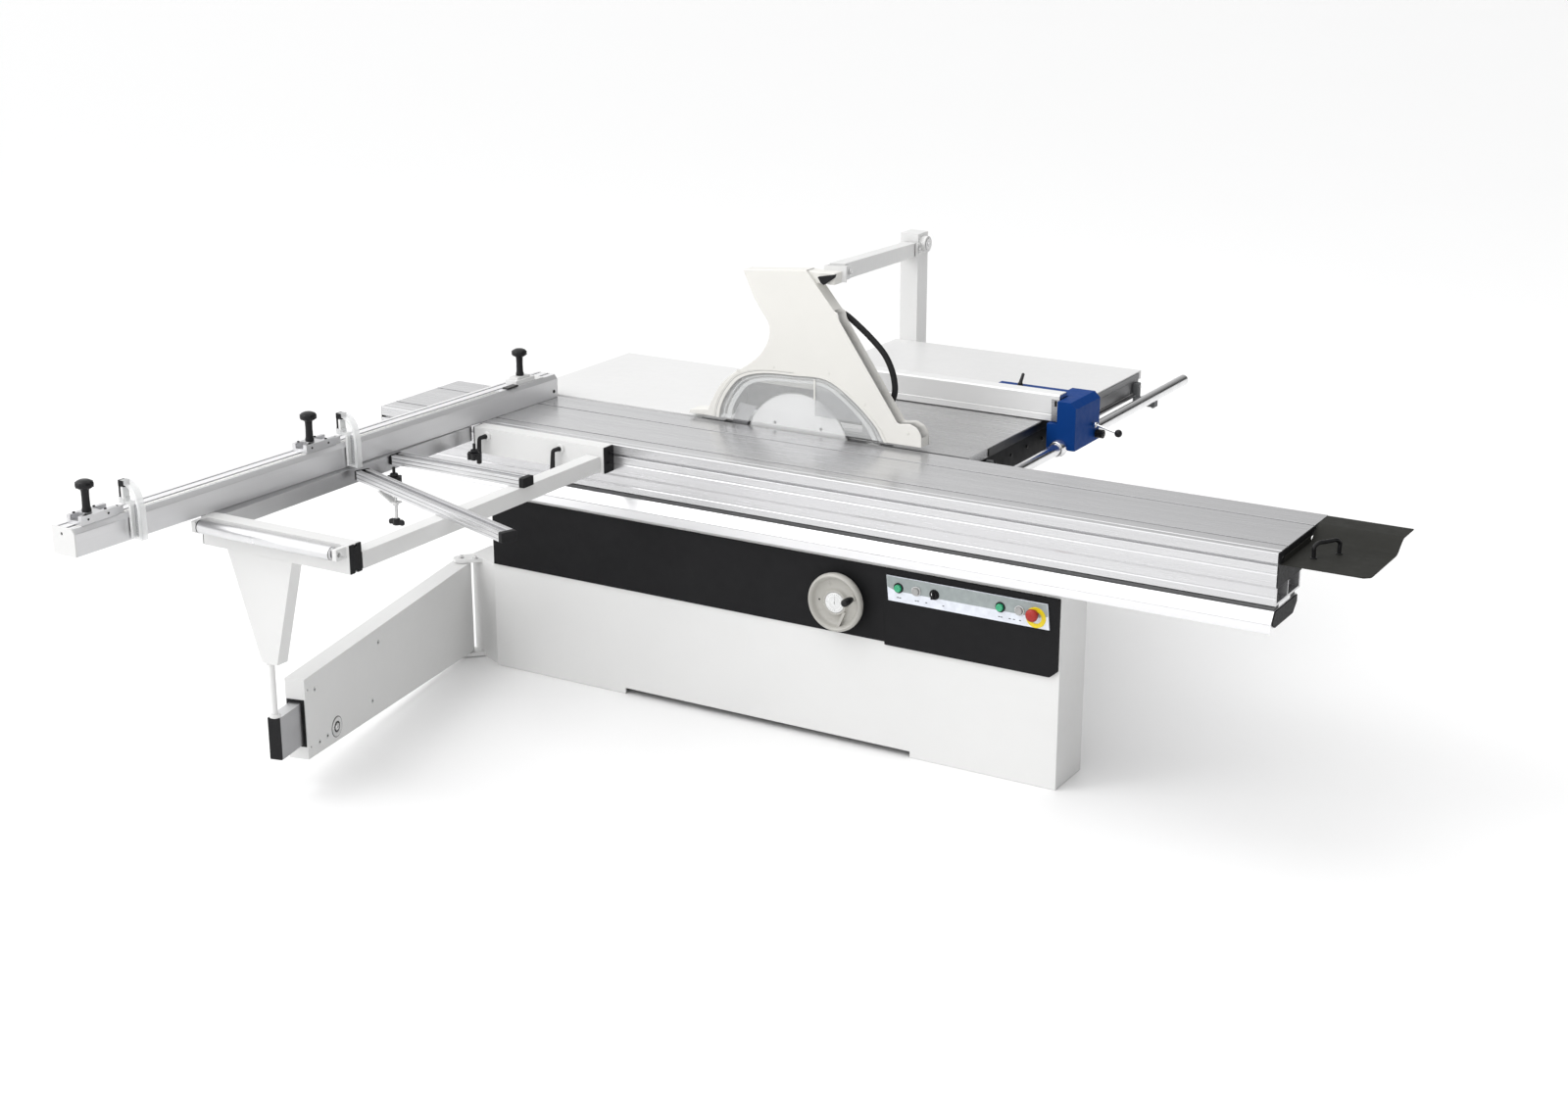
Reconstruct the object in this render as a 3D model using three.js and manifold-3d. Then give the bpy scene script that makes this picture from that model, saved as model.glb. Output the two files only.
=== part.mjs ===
// Sliding-table panel saw, millimetres, +Z up.
// Origin: on the floor, straight below the saw arbor, in the plane of the upright blade.
// +X runs along the sliding table towards its push plate, +Y runs away from the operator.
import * as THREE from 'three';
import { mergeVertices } from 'three/addons/utils/BufferGeometryUtils.js';
import Module from 'manifold-3d';

const wasm = await Module();
wasm.setup();

// ---- driving dimensions ----
const GAP = 0.3; // standing clearance between touching parts
const TABLE_Z = 870;
const BLADE_R = 200;
const ARBOR_Z = 800;
const SCORER_R = 60;
const SCORER_X = 285;
const SCORER_Z = 813;
const WALL = 8;
const CABINET = { x0: -955, x1: 1150, y0: -420, y1: -235, top: 627.7 };
const REAR_CABINET = { x0: -480, x1: 560, y0: -234.7, y1: 620 };
const SLIDE = { x0: -1393, x1: 1807, y0: -448, y1: -23, bottom: 712 };
const FIXED_TABLE = { x0: -371, x1: 632, y0: -9, y1: 650, thick: 30 };
const RIP_TABLE_BACK = 1371;
const BAR = { x: 712, z: 795, r: 20, y0: 60, y1: 1600 };
const FENCE = { x: -947, y: -36, length: 2146, turn: -1.85 };
const ARM = { x: -1108, y: -403, turn: -76.6, length: 1184, thick: 65, top: 345 };
const WHEEL = { x: 409, z: 485, r: 95 };
const MAST = { x0: -357, x1: -284, y0: 1371.5, y1: 1452, z0: 720, z1: 1281 };
const OVERHEAD = { from: [-306, 1345, 1226], to: [110, 58, 1402], section: 52 };

const COLOURS = {
  white: [0xe4e4e2, 0.45, 0.1],
  table_white: [0xf2f2f2, 0.45, 0.05],
  black: [0x262626, 0.5, 0.1],
  knob: [0x141414, 0.35, 0.0],
  steel: [0xbdbdbd, 0.35, 0.9],
  aluminium: [0xb8b8ba, 0.35, 0.85],
  bright: [0xdedee0, 0.25, 0.9],
  chrome: [0xd8d8da, 0.1, 1.0],
  cream: [0xeeede8, 0.5, 0.0],
  wheel: [0xc9c6be, 0.5, 0.05],
  clear: [0xdfe6ea, 0.1, 0.0],
  olive: [0x3a3a36, 0.6, 0.3],
  strip: [0xaab0ae, 0.5, 0.0],
  blue: [0x153f7e, 0.4, 0.05],
  green: [0x1f9a58, 0.4, 0.0],
  grey: [0x9a9a98, 0.4, 0.0],
  red: [0xc63a20, 0.4, 0.0],
  iron: [0x5e6266, 0.55, 0.6],
};

const group = new THREE.Group();
group.name = 'panel_saw';

// ---- helpers ----
function paint(key) {
  const [color, roughness, metalness] = COLOURS[key];
  return new THREE.MeshStandardMaterial({ color, roughness, metalness });
}

function add(name, geometry, key, parent = group) {
  const mesh = new THREE.Mesh(geometry, paint(key));
  mesh.name = name;
  parent.add(mesh);
  return mesh;
}

function shapeOf(points, holes = []) {
  const shape = new THREE.Shape(points.map(([x, y]) => new THREE.Vector2(x, y)));
  for (const hole of holes) {
    shape.holes.push(new THREE.Path(hole.map(([x, y]) => new THREE.Vector2(x, y))));
  }
  return shape;
}

function extrude(points, depth, holes) {
  return new THREE.ExtrudeGeometry(shapeOf(points, holes), { depth, bevelEnabled: false, steps: 1 });
}

// Profile in (X, Y), pulled up Z.
function pullZ(points, z0, z1, holes) {
  return extrude(points, z1 - z0, holes).translate(0, 0, z0);
}

// Profile in (Y, Z), pulled along X.
function pullX(points, x0, x1, holes) {
  const toX = new THREE.Matrix4().set(0, 0, 1, x0, 1, 0, 0, 0, 0, 1, 0, 0, 0, 0, 0, 1);
  return extrude(points, x1 - x0, holes).applyMatrix4(toX);
}

// Profile in (X, Z), pulled along Y.
function pullY(points, y0, y1, holes) {
  const toY = new THREE.Matrix4().set(1, 0, 0, 0, 0, 0, -1, y1, 0, 1, 0, 0, 0, 0, 0, 1);
  return extrude(points, y1 - y0, holes).applyMatrix4(toY);
}

function box(x0, x1, y0, y1, z0, z1) {
  const geometry = new THREE.BoxGeometry(x1 - x0, y1 - y0, z1 - z0);
  return geometry.translate((x0 + x1) / 2, (y0 + y1) / 2, (z0 + z1) / 2);
}

// Cylinder on an axis ('x', 'y' or 'z') between two stations.
function rod(axis, r, a, b, centre, segments = 24) {
  const geometry = new THREE.CylinderGeometry(r, r, b - a, segments);
  const middle = (a + b) / 2;
  if (axis === 'x') {
    return geometry.rotateZ(Math.PI / 2).translate(middle, centre[0], centre[1]);
  }
  if (axis === 'y') {
    return geometry.translate(centre[0], middle, centre[1]);
  }
  return geometry.rotateX(Math.PI / 2).translate(centre[0], centre[1], middle);
}

// Turned part on the Y axis direction: profile of (radius, y).
function turnedY(profile, x, z, segments = 32) {
  const points = profile.map(([r, y]) => new THREE.Vector2(r, y));
  return new THREE.LatheGeometry(points, segments).translate(x, 0, z);
}

// Turned part standing up on Z: profile of (radius, z).
function turnedZ(profile, x, y, segments = 20) {
  const points = profile.map(([r, z]) => new THREE.Vector2(r, z));
  return new THREE.LatheGeometry(points, segments).rotateX(Math.PI / 2).translate(x, y, 0);
}

function rectangle(a0, a1, b0, b1) {
  return [[a0, b0], [a1, b0], [a1, b1], [a0, b1]];
}

function arc(cx, cy, r, from, to, steps) {
  const points = [];
  for (let i = 0; i <= steps; i += 1) {
    const angle = THREE.MathUtils.degToRad(from + ((to - from) * i) / steps);
    points.push([cx + r * Math.cos(angle), cy + r * Math.sin(angle)]);
  }
  return points;
}

function tube(points, r, sides = 10, steps = 20) {
  const path = new THREE.CatmullRomCurve3(points.map((p) => new THREE.Vector3(...p)));
  const section = shapeOf(arc(0, 0, r, 0, 360 - 360 / sides, sides - 1));
  return new THREE.ExtrudeGeometry(section, { steps, extrudePath: path, bevelEnabled: false });
}

function solid(geometry) {
  const bare = geometry.clone();
  bare.deleteAttribute('normal');
  bare.deleteAttribute('uv');
  const merged = mergeVertices(bare, 1e-4);
  const mesh = new wasm.Mesh({
    numProp: 3,
    vertProperties: new Float32Array(merged.attributes.position.array),
    triVerts: new Uint32Array(merged.index.array),
  });
  return new wasm.Manifold(mesh);
}

function shell(body) {
  const mesh = body.getMesh();
  const geometry = new THREE.BufferGeometry();
  geometry.setAttribute('position', new THREE.Float32BufferAttribute(mesh.vertProperties, 3));
  geometry.setIndex(new THREE.Uint32BufferAttribute(mesh.triVerts, 1));
  const flat = geometry.toNonIndexed();
  flat.computeVertexNormals();
  return flat;
}

function join(...parts) {
  return shell(parts.map(solid).reduce((a, b) => a.add(b)));
}

function cut(base, ...tools) {
  return shell(tools.map(solid).reduce((a, b) => a.subtract(b), solid(base)));
}

// ---- base cabinets ----
const rear = REAR_CABINET;
const rearWalls = [
  [rear.x0, rear.y0], [rear.x0 + WALL, rear.y0], [rear.x0 + WALL, rear.y1 - WALL],
  [rear.x1 - WALL, rear.y1 - WALL], [rear.x1 - WALL, rear.y0], [rear.x1, rear.y0],
  [rear.x1, rear.y1], [rear.x0, rear.y1],
];
const plateRelief = box(-500, 600, -240, -110, 800, 850);
add('rear_cabinet', join(
  box(rear.x0, rear.x1, rear.y0, rear.y1, 0, 20),
  cut(pullZ(rearWalls, 19, 840 - GAP), plateRelief),
), 'white');

const ring = pullZ(
  rectangle(CABINET.x0, CABINET.x1, CABINET.y0, CABINET.y1), 0, CABINET.top,
  [rectangle(CABINET.x0 + WALL, CABINET.x1 - WALL, CABINET.y0 + WALL, CABINET.y1 - WALL)],
);
const toeNotch = box(-420, 652, -500, -200, -5, 20);
const backOpening = box(-470, 550, -250, -200, 120, 700);
add('front_cabinet', cut(ring, toeNotch, backOpening), 'white');

// Bevelled column beside the cabinet, with two lugs and the long pin that the swing arm turns on.
const column = [[-955.4, -411], [-955.4, -240], [-1103, -240], [-1103, -346]];
const lug = [
  [-1098, -340], [-1034, -368], [-1078, -412], [-1092, -424], [-1112, -430],
  [-1132, -418], [-1138, -400], [-1130, -372],
];
add('swing_hinge_post', join(
  pullZ(column, 0, 360),
  pullZ(lug, 4, 16),
  pullZ(lug, ARM.top + 2, ARM.top + 14),
  rod('z', 12, 4, ARM.top + 14, [ARM.x, ARM.y]),
), 'white');

const fascia = [[-948, 371], [562, 371], [562, 612], [-813, 612], [-948, 543]];
add('fascia_panel', pullY(fascia, -426, -420 - GAP), 'black');

const cover = [[562.6, 363], [1124, 363], [1151, 385], [1151, 612], [562.6, 612]];
add('control_cover', pullY(cover, -430, -420 - GAP), 'black');

const BUTTONS = [
  ['start_button', 613, 'green'],
  ['stop_button', 674, 'grey'],
  ['raise_button', 957, 'green'],
  ['lower_button', 1020, 'grey'],
];
const SELECTOR_X = 736;
const ESTOP_X = 1070;
const BUTTON_Z = 558;
const wells = [...BUTTONS.map((b) => b[1]), SELECTOR_X, ESTOP_X];
const strip = [[578, 513], [1118, 513], [1110, 593], [570, 593]];
add('control_strip', cut(
  pullY(strip, -436, -430 - GAP),
  ...wells.map((x) => rod('y', 12.6, -440, -425, [x, BUTTON_Z], 24)),
), 'strip');

for (const [name, x, key] of BUTTONS) {
  add(name, rod('y', 12, -446, -434.3, [x, BUTTON_Z], 20), key);
}
add('mode_selector', join(
  rod('y', 12, -442, -434.3, [SELECTOR_X, BUTTON_Z], 20),
  box(SELECTOR_X - 3.5, SELECTOR_X + 3.5, -455, -440, BUTTON_Z - 11, BUTTON_Z + 11),
), 'knob');
add('emergency_stop', turnedY([
  [0, -468], [12, -467], [18, -463.5], [20, -459], [19, -454], [12, -452], [12, -434.3], [0, -434.3],
], ESTOP_X, BUTTON_Z, 24), 'red');

// ---- tilt handwheel ----
const wheelProfile = [
  [0, -470], [24, -470], [30, -466], [32, -452], [76, -456], [80, -474], [87, -480], [94, -474],
  [95, -462], [90, -450], [80, -446], [30, -440], [22, -427], [0, -427],
];
add('handwheel', turnedY(wheelProfile, WHEEL.x, WHEEL.z, 40), 'wheel');
add('handwheel_grip', turnedY([
  [0, -534], [10, -531], [12.5, -522], [11, -500], [8, -483], [0, -483],
], WHEEL.x + 66, WHEEL.z + 26, 16), 'knob');

// ---- fixed slide beam and sliding table ----
const beam = [
  [-448, 692], [-448, 651], [-424, 628], [-258, 628], [-240, 642], [-240, 692],
  [-296, 692], [-296, 704], [-392, 704], [-392, 692],
];
const beamCore = [[-438, 682], [-438, 656], [-420, 638], [-262, 638], [-250, 647], [-250, 682]];
add('slide_beam', pullX(beam, SLIDE.x0, SLIDE.x1 - 7, [beamCore]), 'bright');

const carriage = [
  [-448, 870], [-448, 838], [-436, 838], [-436, 832], [-448, 832], [-448, 768], [-443, 762],
  [-443, 712], [-240, 712], [-240, 846], [-60, 846], [-24, 863], [-24, 870],
  [-139, 870], [-139, 858], [-147, 858], [-147, 870], [-364, 870], [-364, 858], [-372, 858],
  [-372, 870],
];
const upperCore = rectangle(-428, -250, 778, 838);
const lowerCore = rectangle(-434, -250, 720, 768);
add('sliding_table', pullX(carriage, SLIDE.x0, SLIDE.x1, [upperCore, lowerCore]), 'aluminium');

const sheet = [
  [-427, 834], [-178, 834], [-128, 870], [-30, 870], [-30, 866], [-126.6, 866], [-176.6, 830],
  [-427, 830],
];
const sheetCorner = pullZ([[2060, -430], [2038, -430], [2060, -400]], 820, 880);
const handle = tube([
  [1868, -334, 831], [1868, -334, 862], [1876, -321, 876], [1892, -296, 878], [1908, -271, 876],
  [1916, -258, 862], [1916, -258, 831],
], 6, 10, 24);
add('push_plate', join(cut(pullX(sheet, SLIDE.x1 + GAP, 2058), sheetCorner), handle), 'olive');

// ---- fixed tables ----
const fixed = FIXED_TABLE;
const slotted = [
  [fixed.x0, fixed.y0], [-282, fixed.y0], [-282, 9], [354, 9], [354, fixed.y0],
  [fixed.x1, fixed.y0], [fixed.x1, fixed.y1], [fixed.x0, fixed.y1],
];
add('steel_table', pullZ(slotted, TABLE_Z - fixed.thick, TABLE_Z), 'steel');
const sideGusset = [[-480.6, 841], [-480.6, 640], [-960, 841]];
add('left_extension_table', join(
  box(-1118, fixed.x0 - GAP, 0, 650, 840, TABLE_Z),
  ...[90, 540].map((y) => pullY(sideGusset, y, y + 8)),
), 'table_white');
const backGusset = [[620.6, 839.7], [620.6, 640], [1250, 841], [652, 841], [652, 839.7]];
add('rip_extension_table', join(
  box(fixed.x0, 637, fixed.y1 + GAP, RIP_TABLE_BACK, 840, TABLE_Z),
  ...[-300, 350].map((x) => pullX(backGusset, x, x + 8)),
  pullY([[590, 844], [590, 790], [637, 790], [637, 798], [600, 798], [600, 844]],
    fixed.y1 + GAP, RIP_TABLE_BACK - 20),
), 'table_white');

// ---- rip fence on its round bar ----
add('rip_bar', join(
  rod('y', BAR.r, BAR.y0, BAR.y1, [BAR.x, BAR.z], 28),
  pullY([[632.4, 836], [632.4, 756], [724, 756], [724, 780], [656, 780], [656, 836]], 90, 120),
  pullY([[637.4, 788], [637.4, 756], [724, 756], [724, 780], [656, 780], [656, 788]], 1300, 1330),
  box(637.4, 656, 1300, 1330, 780, 836),
), 'chrome');

const ripHead = [
  [662, 874], [662, 787], [691, 787], [691, 816], [733, 816], [733, 787], [765, 787],
  [765, 930], [745, 950], [662, 950],
];
const ripClear = box(300, 698, 500, 597, 871, 1000);
add('rip_head', cut(
  join(pullY(ripHead, 505, 705), box(400, 670, 598, 700, 874, 942)),
  ripClear,
), 'blue');

const ripProfile = rectangle(530, 590, 873, 965);
const ripCore = rectangle(535, 585, 878, 960);
add('rip_fence', pullX(ripProfile, -330, 695, [ripCore]), 'table_white');

const leverArm = new THREE.CylinderGeometry(4.5, 4.5, 84, 12);
leverArm.rotateZ(Math.PI / 2 - 0.24).translate(815, 647, 841);
const leverBall = new THREE.SphereGeometry(13, 14, 10).translate(860, 647, 830);
const leverHub = new THREE.SphereGeometry(9.5, 14, 10).translate(775.5, 647, 849);
add('rip_lock_lever', join(leverHub, leverArm, leverBall), 'knob');
const clampPost = rod('z', 9, 942.3, 956, [491, 655], 16);
add('rip_clamp_lever', join(clampPost, tube([[491, 655, 950], [488, 668, 960], [480, 700, 976]], 5)), 'knob');
add('rip_adjust_knob', rod('x', 15, 765.6, 798, [676, 812], 18), 'knob');

// ---- cross-cut outrigger ----
function hollowX(name, x0, x1, y0, y1, z0, z1, wall, key) {
  const core = rectangle(y0 + wall, y1 - wall, z0 + wall, z1 - wall);
  return add(name, pullX(rectangle(y0, y1, z0, z1), x0, x1, [core]), key);
}

function hollowY(name, x0, x1, y0, y1, z0, z1, wall, key) {
  const core = rectangle(x0 + wall, x1 - wall, z0 + wall, z1 - wall);
  return add(name, pullY(rectangle(x0, x1, z0, z1), y0, y1, [core]), key);
}

hollowX('outrigger_rear_profile', -950, -430, -501, -448.5, 782, TABLE_Z, 5, 'white');
hollowY('outrigger_right_beam', -493, -443, -1659.5, -501.4, 788, 839.5, 4, 'white');
hollowY('outrigger_left_beam', -1010, -960, -1659.5, -501.4, 820, 869.7, 4, 'aluminium');

const ROLLER = { y: -1741, z: 849.5, r: 20, x0: -984, x1: -478 };
const frontTube = pullX(
  rectangle(-1710, -1660, 783, 869.7), -1004, -450, [rectangle(-1705, -1665, 788, 864.7)],
);
const ears = [[-1004, -988], [-474, -458]].map(([a, b]) => box(a, b, -1754, -1708, 832, 866));
const journals = rod('x', 6.8, -1100, -400, [ROLLER.y, ROLLER.z], 24);
add('outrigger_front_profile', cut(
  join(frontTube, ...ears),
  cut(journals, box(-980, -480, -1800, -1700, 800, 900)),
), 'white');
add('outrigger_roller', join(
  rod('x', ROLLER.r, ROLLER.x0, ROLLER.x1, [ROLLER.y, ROLLER.z], 28),
  rod('x', 6, -998, -464, [ROLLER.y, ROLLER.z], 16),
), 'chrome');

// Tapered channel under the front tube, with the vertical rod that stands on the swing arm.
const taper = [[-922, 782.5], [-672, 782.5], [-757, 449], [-816, 449]];
add('support_bracket', join(
  pullY(taper, -1702, -1657),
  rod('z', 9, 279, 460, [-800, -1680], 16),
  rod('z', 17, 273.5, 283, [-800, -1680], 16),
), 'white');

const railProfile = [
  [-25, 0], [25, 0], [25, 29.4], [7, 29.4], [7, 18], [-7, 18], [-7, 29.4], [-25, 29.4],
];
add('short_rail', pullX(railProfile, -959.3, -434), 'aluminium').position.set(0, -896, 840.3);
const diagonalRail = add('diagonal_rail', pullX(railProfile, -835, 0), 'aluminium');
diagonalRail.position.set(-143, -1377, 840.3);
diagonalRail.rotation.z = THREE.MathUtils.degToRad(-20);

add('rail_wing_knob', join(
  rod('z', 5, 750, 840, [-740, -1160], 12),
  rod('z', 11, 738, 758, [-740, -1160], 16),
  box(-768, -712, -1166, -1154, 740, 754),
), 'knob');

const LEVERS = [['clamp_lever_left', -910], ['clamp_lever_right', -611]];
for (const [name, x] of LEVERS) {
  const hub = rod('y', 11, -532, -501.5, [x, 842], 16);
  const arm = pullY([[x - 8, 846], [x + 7, 848], [x + 2, 752], [x - 10, 752]], -531, -520);
  add(name, join(hub, arm), 'knob');
}

// ---- cross-cut fence, its stops and knobs (all in the fence's own turned frame) ----
const fence = new THREE.Group();
fence.name = 'fence_frame';
fence.position.set(FENCE.x, FENCE.y, TABLE_Z + GAP);
fence.rotation.z = THREE.MathUtils.degToRad(FENCE.turn);
group.add(fence);

const fenceProfile = [
  [0, 0], [0, 66], [-10, 80], [-30, 80], [-30, 70], [-40, 70], [-40, 80], [-66, 80], [-66, 70],
  [-74, 70], [-74, 80], [-88, 80], [-88, 0],
];
const fenceCore = [[-6, 6], [-6, 56], [-14, 62], [-82, 62], [-82, 6]];
add('crosscut_fence', join(
  pullY(fenceProfile, -FENCE.length, 0, [fenceCore]),
  box(-62, -14, -205, -105, 78, 104),
), 'bright', fence);

const STOPS = [['a', -2108, -2062], ['b', -1226, -1180]];
const KNOB_X = -38;
const archOuter = [
  [-28, 112], [-28, 168], [-20, 174], [6, 172], [28, 156], [44, 128], [50, 96], [50, 5], [34, 5],
  [34, 96],
];
const archInner = [[28, 122], [14, 142], [-2, 154], [-12, 154], [-12, 112]];
for (const [tag, y, knobY] of STOPS) {
  add(`stop_block_${tag}`, join(
    box(-68, -8, y, y + 150, 80 + GAP, 106),
    box(-34, -14, y + 140, y + 186, 80 + GAP, 106),
  ), 'bright', fence);
  add(`flip_stop_${tag}`, pullY([...archOuter, ...archInner], y + 156, y + 180), 'clear', fence);
  add(`clamp_knob_${tag}`, knob(106 + GAP), 'knob', fence).position.set(KNOB_X, knobY, 0);
}
add('clamp_knob_c', knob(104 + GAP), 'knob', fence).position.set(KNOB_X, -155, 0);

function knob(z) {
  return turnedZ([
    [0, z], [12, z], [10, z + 12], [9, z + 62], [20, z + 68], [26, z + 78], [24, z + 88],
    [12, z + 93], [0, z + 93],
  ], 0, 0, 18);
}

// ---- swing arm under the outrigger (local X runs along the arm) ----
const swing = new THREE.Group();
swing.name = 'swing_frame';
swing.position.set(ARM.x, ARM.y, 0);
swing.rotation.z = THREE.MathUtils.degToRad(ARM.turn);
group.add(swing);

const half = ARM.thick / 2;
const armSide = [[0, 22], [ARM.length, 88], [ARM.length, ARM.top], [0, ARM.top]];
const armPlate = pullY(armSide, -half, half);
const armRoot = cut(rod('z', half, 22, ARM.top, [0, 0], 28));
const armCavity = box(400, ARM.length + 20, -22.5, 22.5, 135, 274);
const armBore = rod('z', 12.5, 0, 400, [0, 0], 24);
add('swing_arm', cut(join(armPlate, armRoot), armCavity, armBore), 'white', swing);
add('telescopic_arm', box(560, 1314, -20, 20, 138, 271), 'aluminium', swing);

// ---- overhead guard ----
const from = new THREE.Vector3(...OVERHEAD.from);
const to = new THREE.Vector3(...OVERHEAD.to);
const reach = to.clone().sub(from);
const span = reach.length();
const overhead = new THREE.Group();
overhead.name = 'overhead_frame';
overhead.position.copy(from);
overhead.rotation.order = 'ZYX';
overhead.rotation.z = Math.atan2(reach.y, reach.x);
overhead.rotation.y = -Math.atan2(reach.z, Math.hypot(reach.x, reach.y));
overhead.updateMatrix();
group.add(overhead);

// A pair of cheeks astride the arm at one of its pins, in the arm's frame, returned in the part's.
function cheeks(pin, r, x0, x1, z0, z1) {
  return [-37, 29].map((y) => cut(
    box(x0, x1, y, y + 8, z0, z1),
    rod('y', r, -60, 60, [pin, 0], 24),
  ).applyMatrix4(overhead.matrix));
}

const s = OVERHEAD.section / 2;
const MAST_PIN = 10;
const GUARD_PIN = span - 12;
add('overhead_arm', join(
  box(-5, span, -s, s, -s, s),
  rod('y', 10, -44, 44, [MAST_PIN, 0], 20),
  rod('y', 8, -44, 44, [GUARD_PIN, 0], 20),
), 'white', overhead);

add('guard_mast', join(
  box(MAST.x0, MAST.x1, MAST.y0, MAST.y1, MAST.z0, MAST.z1),
  rod('x', 30, MAST.x1 - 2, MAST.x1 + 22, [1412, 1240], 24),
  ...cheeks(MAST_PIN, 10.6, -48, 34, -24, 24),
), 'white');

const hoodOutline = [
  [-194, 1392], [-153, 1303], [-95, 1221], [-95, 1174], [-174, 1083], [-284, 1000], [-335, 905],
  [-405, 896], [-411, 884], [470, 884], [470, 922], [455, 945], [427, 957], [384, 951],
  [166, 1262], [149, 1290], [44, 1415],
];
const hoodCavity = [
  [-300, 880], [345, 880], [308, 941], [223, 1017], [123, 1073], [-120, 1066], [-209, 1039],
  [-262, 985], [-290, 930],
];
const windowOutline = [
  [-290, 880], [334, 880], [299, 937], [216, 1009], [120, 1062], [-118, 1056], [-203, 1030],
  [-252, 980], [-280, 928],
];
add('guard_hood', cut(
  join(
    pullY(hoodOutline, -28, 28),
    box(-276, 236, 20, 125, 884, 1016),
    box(30, 142, -14, 36, 1372, 1410),
    box(span + 22, span + 32, -37, 37, -32, 20).applyMatrix4(overhead.matrix),
    ...cheeks(GUARD_PIN, 8.6, span - 32, span + 30, -24, 20),
  ),
  pullY(hoodCavity, -22, 22),
  box(-268, 228, 0, 117, 880, 1009),
  pullY(windowOutline, -40, 0),
), 'cream');
const pane = windowOutline.map(([x, z]) => [(x - 22) * 0.993 + 22, (z - 880) * 0.992 + 880]);
pane[0] = [pane[0][0] + 2, 886];
pane[1] = [pane[1][0] - 5, 886];
add('guard_window', pullY(pane, -27, -23), 'clear');
add('guard_hose', tube([
  [128, 29.6, 1275], [128, 38, 1275], [138, 50, 1270], [165, 54, 1254], [232, 54, 1192],
  [300, 54, 1112], [322, 54, 1030], [316, 50, 992], [312, 38, 984], [312, 29.6, 984],
], 10, 10, 30), 'knob');

// ---- saw unit ----
// Hull of two circles on one vertical line, used for the belt.
function beltOutline(rTop, zTop, rLow, zLow) {
  const lean = THREE.MathUtils.radToDeg(Math.asin((rLow - rTop) / (zTop - zLow)));
  return [
    ...arc(0, zTop, rTop, lean, 180 - lean, 12),
    ...arc(0, zLow, rLow, 180 - lean, 360 + lean, 12),
  ];
}

const MOTOR_Z = 600;
const posts = [
  [-190, 360], [-190, 825], [-132, 825], [-132, 400], [132, 400], [132, 825], [360, 825], [360, 360],
];
add('tilt_trunnion', cut(
  join(
    pullY(posts, 55, 85),
    rod('y', 24, 14, 70, [SCORER_X, SCORER_Z], 24),
    box(-206, -189, 55, 200, 420, 825),
    box(359, 376, 55, 200, 420, 825),
  ),
  rod('y', 8.4, 0, 60, [SCORER_X, SCORER_Z], 24),
), 'iron');
add('scoring_blade', join(
  rod('y', SCORER_R, -1.6, 1.6, [SCORER_X, SCORER_Z], 36),
  rod('y', 20, -9, 12, [SCORER_X, SCORER_Z], 20),
  rod('y', 8, 10, 52, [SCORER_X, SCORER_Z], 16),
), 'steel');

add('lift_carriage', cut(
  join(
    box(-128, 128, 50, 90, 540, 835),
    rod('y', 38, 18, 170, [0, ARBOR_Z], 28),
    box(-262, -60, 30, 52, 600, 650),
    box(-262, -215, 1.8, 40, 600, 650),
    box(-125, -95, 88, 430, 565, 635),
  ),
  rod('y', 15.5, 0, 180, [0, ARBOR_Z], 24),
), 'iron');
add('motor', join(
  rod('y', 80, 215, 430, [0, MOTOR_Z], 28),
  box(-94.5, -60, 220, 425, 570, 630),
  box(30, 112, 270, 370, 560, 640),
), 'blue');
add('motor_pulley', join(
  rod('y', 45, 177, 198, [0, MOTOR_Z], 28),
  rod('y', 12, 196, 214.5, [0, MOTOR_Z], 16),
), 'iron');
add('drive_belt', pullY(
  beltOutline(38, ARBOR_Z, 51, MOTOR_Z), 179, 196, [beltOutline(32.6, ARBOR_Z, 45.7, MOTOR_Z)],
), 'knob');

const TEETH = 48;
const teeth = [];
for (let i = 0; i < TEETH; i += 1) {
  const turn = (i * 2 * Math.PI) / TEETH;
  for (const [r, shift] of [[BLADE_R, 0], [BLADE_R - 9, 0.012], [BLADE_R - 6, 0.075]]) {
    teeth.push([r * Math.cos(turn + shift), ARBOR_Z + r * Math.sin(turn + shift)]);
  }
}
add('main_blade', join(
  pullY(teeth, -1.6, 1.6),
  rod('y', 37, -8, 12, [0, ARBOR_Z], 28),
  rod('y', 16, -19, -6, [0, ARBOR_Z], 12),
  rod('y', 15, 10, 176, [0, ARBOR_Z], 20),
  rod('y', 32, 176, 200, [0, ARBOR_Z], 24),
), 'steel');

const knife = [
  ...arc(0, ARBOR_Z, 206, 140, 205, 12),
  [-215, 690], [-215, 602], [-262, 602], [-262, 720],
  ...arc(0, ARBOR_Z, 262, 180, 148, 6),
];
add('riving_knife', pullY(knife, -1.4, 1.4), 'steel');

export default group;
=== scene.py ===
import math
from collections import namedtuple

import bmesh
import bpy
from mathutils import Matrix, Vector


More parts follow.
